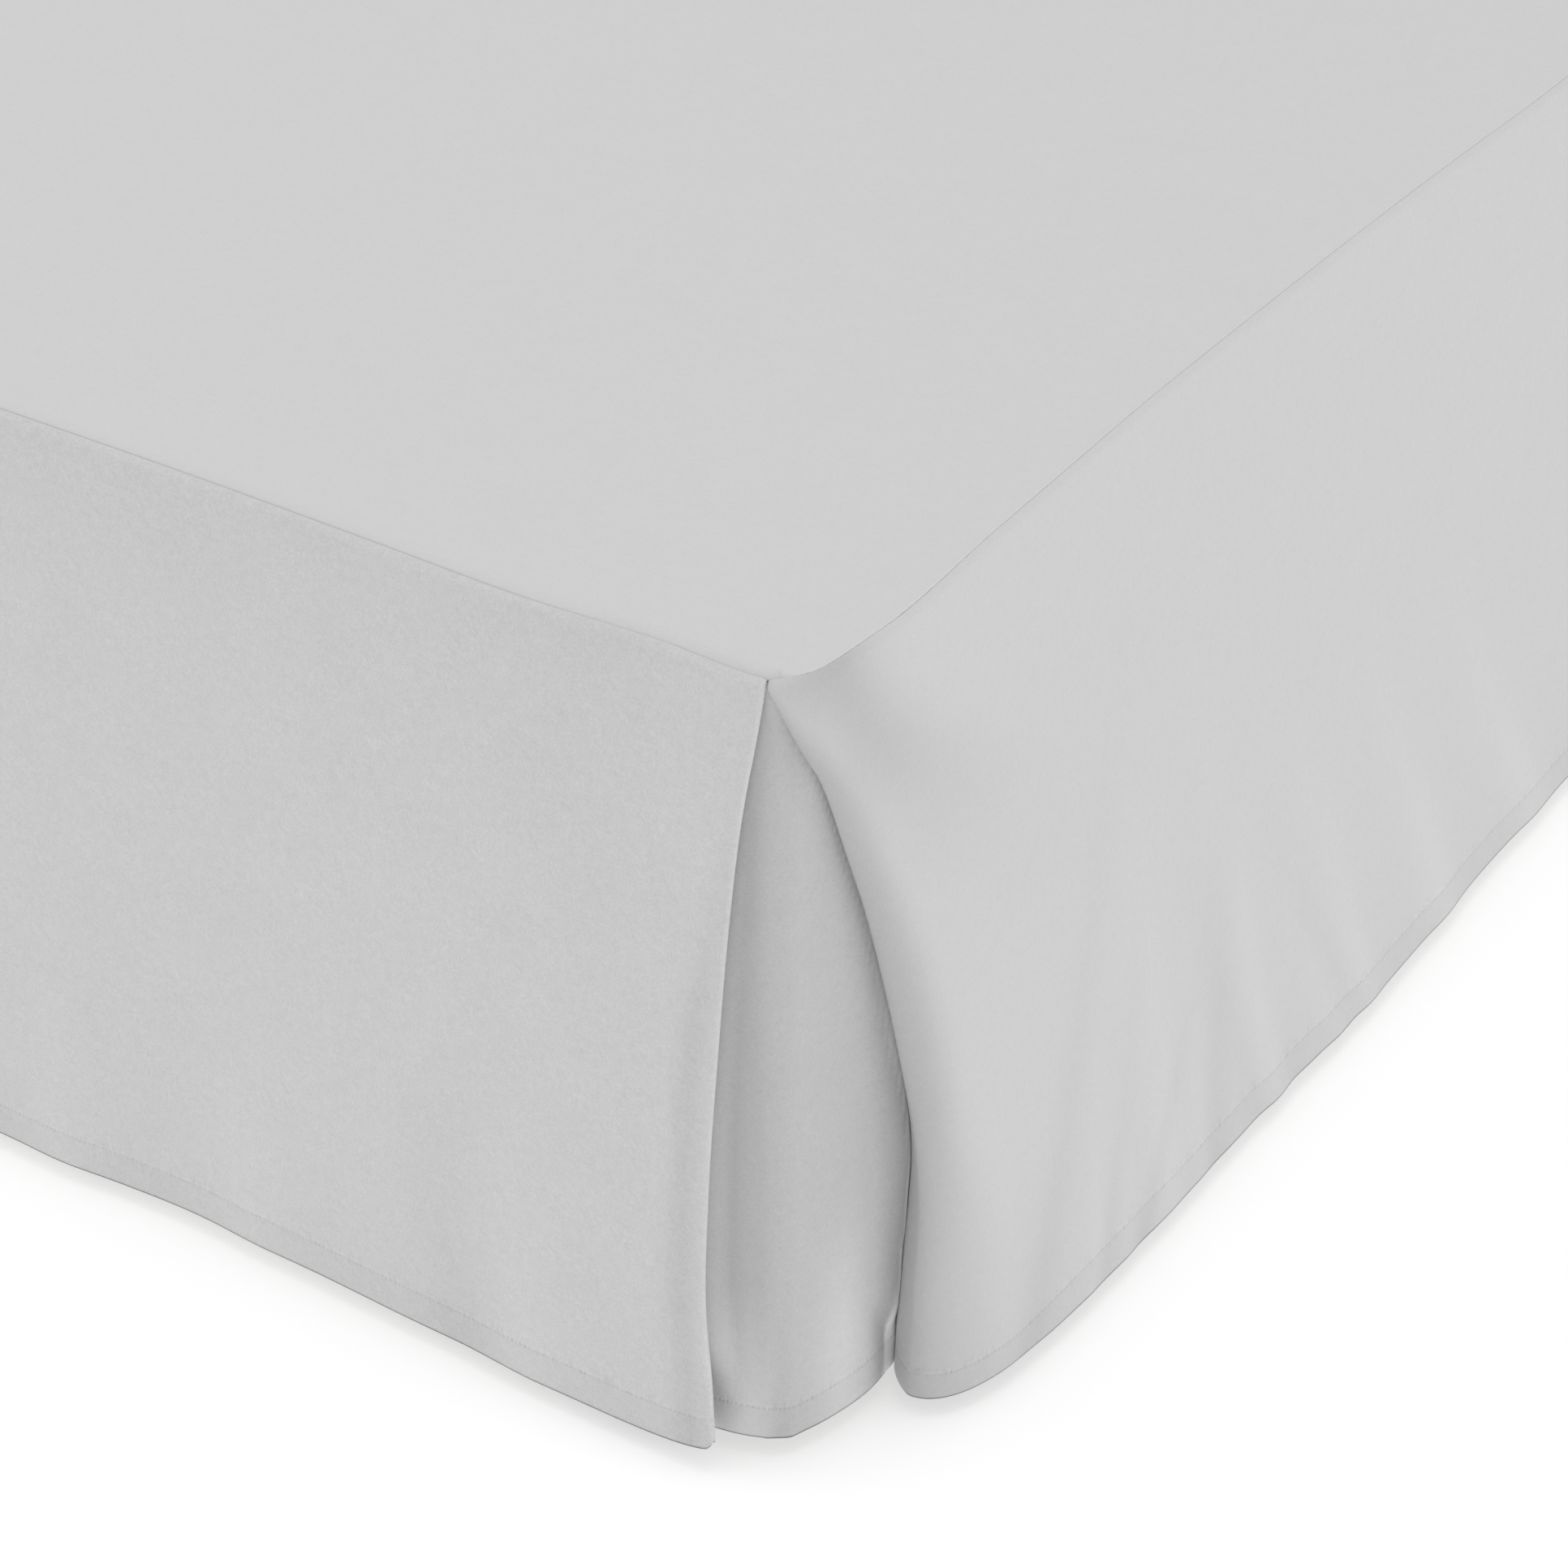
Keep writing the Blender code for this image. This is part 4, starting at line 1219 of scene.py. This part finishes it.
def refinish(node, material):
    """A carried-over solid gets a better material."""
    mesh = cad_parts[node].data
    mesh.materials.clear()
    mesh.materials.append(material)


def add_floor():
    """A wide pale floor, with a little light of its own, so that shadows on it stay soft.

    It is a flat disc of many sides: radius * (cos t, sin t, 0).
    """
    mesh = bpy.data.meshes.new("floor")
    ring = np.linspace(0, 2 * math.pi, FLOOR_SIDES, endpoint=False)
    rim = FLOOR_RADIUS * np.stack([np.cos(ring), np.sin(ring), 0 * ring], axis=-1)
    mesh.from_pydata(rim.tolist(), [], [list(range(FLOOR_SIDES))])
    floor = bpy.data.objects.new("floor", mesh)
    material, _, shader = new_material("floor_white")
    shader.inputs["Base Color"].default_value = (*FLOOR_WHITE, 1.0)
    shader.inputs["Roughness"].default_value = 0.9
    shader.inputs["Specular IOR Level"].default_value = 0.1
    shader.inputs["Emission Color"].default_value = (1.0, 1.0, 1.0, 1.0)
    shader.inputs["Emission Strength"].default_value = FLOOR_GLOW
    mesh.materials.append(material)
    bpy.context.scene.collection.objects.link(floor)


def add_lamp(name, place, size, power):
    """A large soft square light, turned to the lamps' target."""
    light = bpy.data.lights.new(name, "AREA")
    light.size = size
    light.energy = power
    lamp = bpy.data.objects.new(name, light)
    lamp.location = place
    lamp.rotation_euler = (Vector(LAMP_TARGET) - Vector(place)).to_track_quat("-Z", "Y").to_euler()
    bpy.context.scene.collection.objects.link(lamp)


def light_studio():
    """White surroundings and soft lights, shown without a film curve."""
    world = bpy.data.worlds.new("studio")
    world.use_nodes = True
    world.node_tree.nodes["Background"].inputs["Color"].default_value = (1.0, 1.0, 1.0, 1.0)
    world.node_tree.nodes["Background"].inputs["Strength"].default_value = SURROUND
    bpy.context.scene.world = world
    for lamp in LAMPS:
        add_lamp(*lamp)
    bpy.context.scene.view_settings.view_transform = "Standard"


def add_camera():
    """Above the corner, looking down at it."""
    lens = bpy.data.cameras.new("camera")
    lens.lens = CAMERA_LENS
    lens.clip_end = 100
    camera = bpy.data.objects.new("camera", lens)
    camera.location = CAMERA_AT
    camera.rotation_euler = (
        math.radians(90 + CAMERA_PITCH),
        0.0,
        math.radians(CAMERA_YAW - 90),
    )
    bpy.context.scene.collection.objects.link(camera)
    bpy.context.scene.camera = camera


def build():
    """Every piece, the stage, the lights and the camera."""
    # Each piece's lightness is set lower where it stands in more shade: painted shade, most of it on the
    # underlays deep in the pleats.
    foot_shaded_weave = brushed_cloth("brushed_cloth_pressed_shaded", lightness=0.985, mottle=1.0, creasing=1.0)
    side_shaded_weave = brushed_cloth("brushed_cloth_hung_shaded", lightness=0.97, mottle=0.4, creasing=0.0)
    underlay_shaded_weave = brushed_cloth("brushed_cloth_underlay_shaded", lightness=0.815, mottle=0.7, creasing=0.0)
    add_deck(brushed_cloth("brushed_cloth", lightness=1.0, mottle=0.4, creasing=0.0))
    add_foot_drop(foot_shaded_weave)
    for side_name in SIDES:
        add_side_drop(side_name, side_shaded_weave)
        add_underlay(side_name, underlay_shaded_weave)
    refinish("box_spring", woven_ticking("woven_ticking"))
    wood = stained_wood("stained_wood")
    for row in ("foot", "middle", "head"):
        for side_name in SIDES:
            refinish(f"leg_{row}_{side_name}", wood)
    add_floor()
    light_studio()
    add_camera()


build()
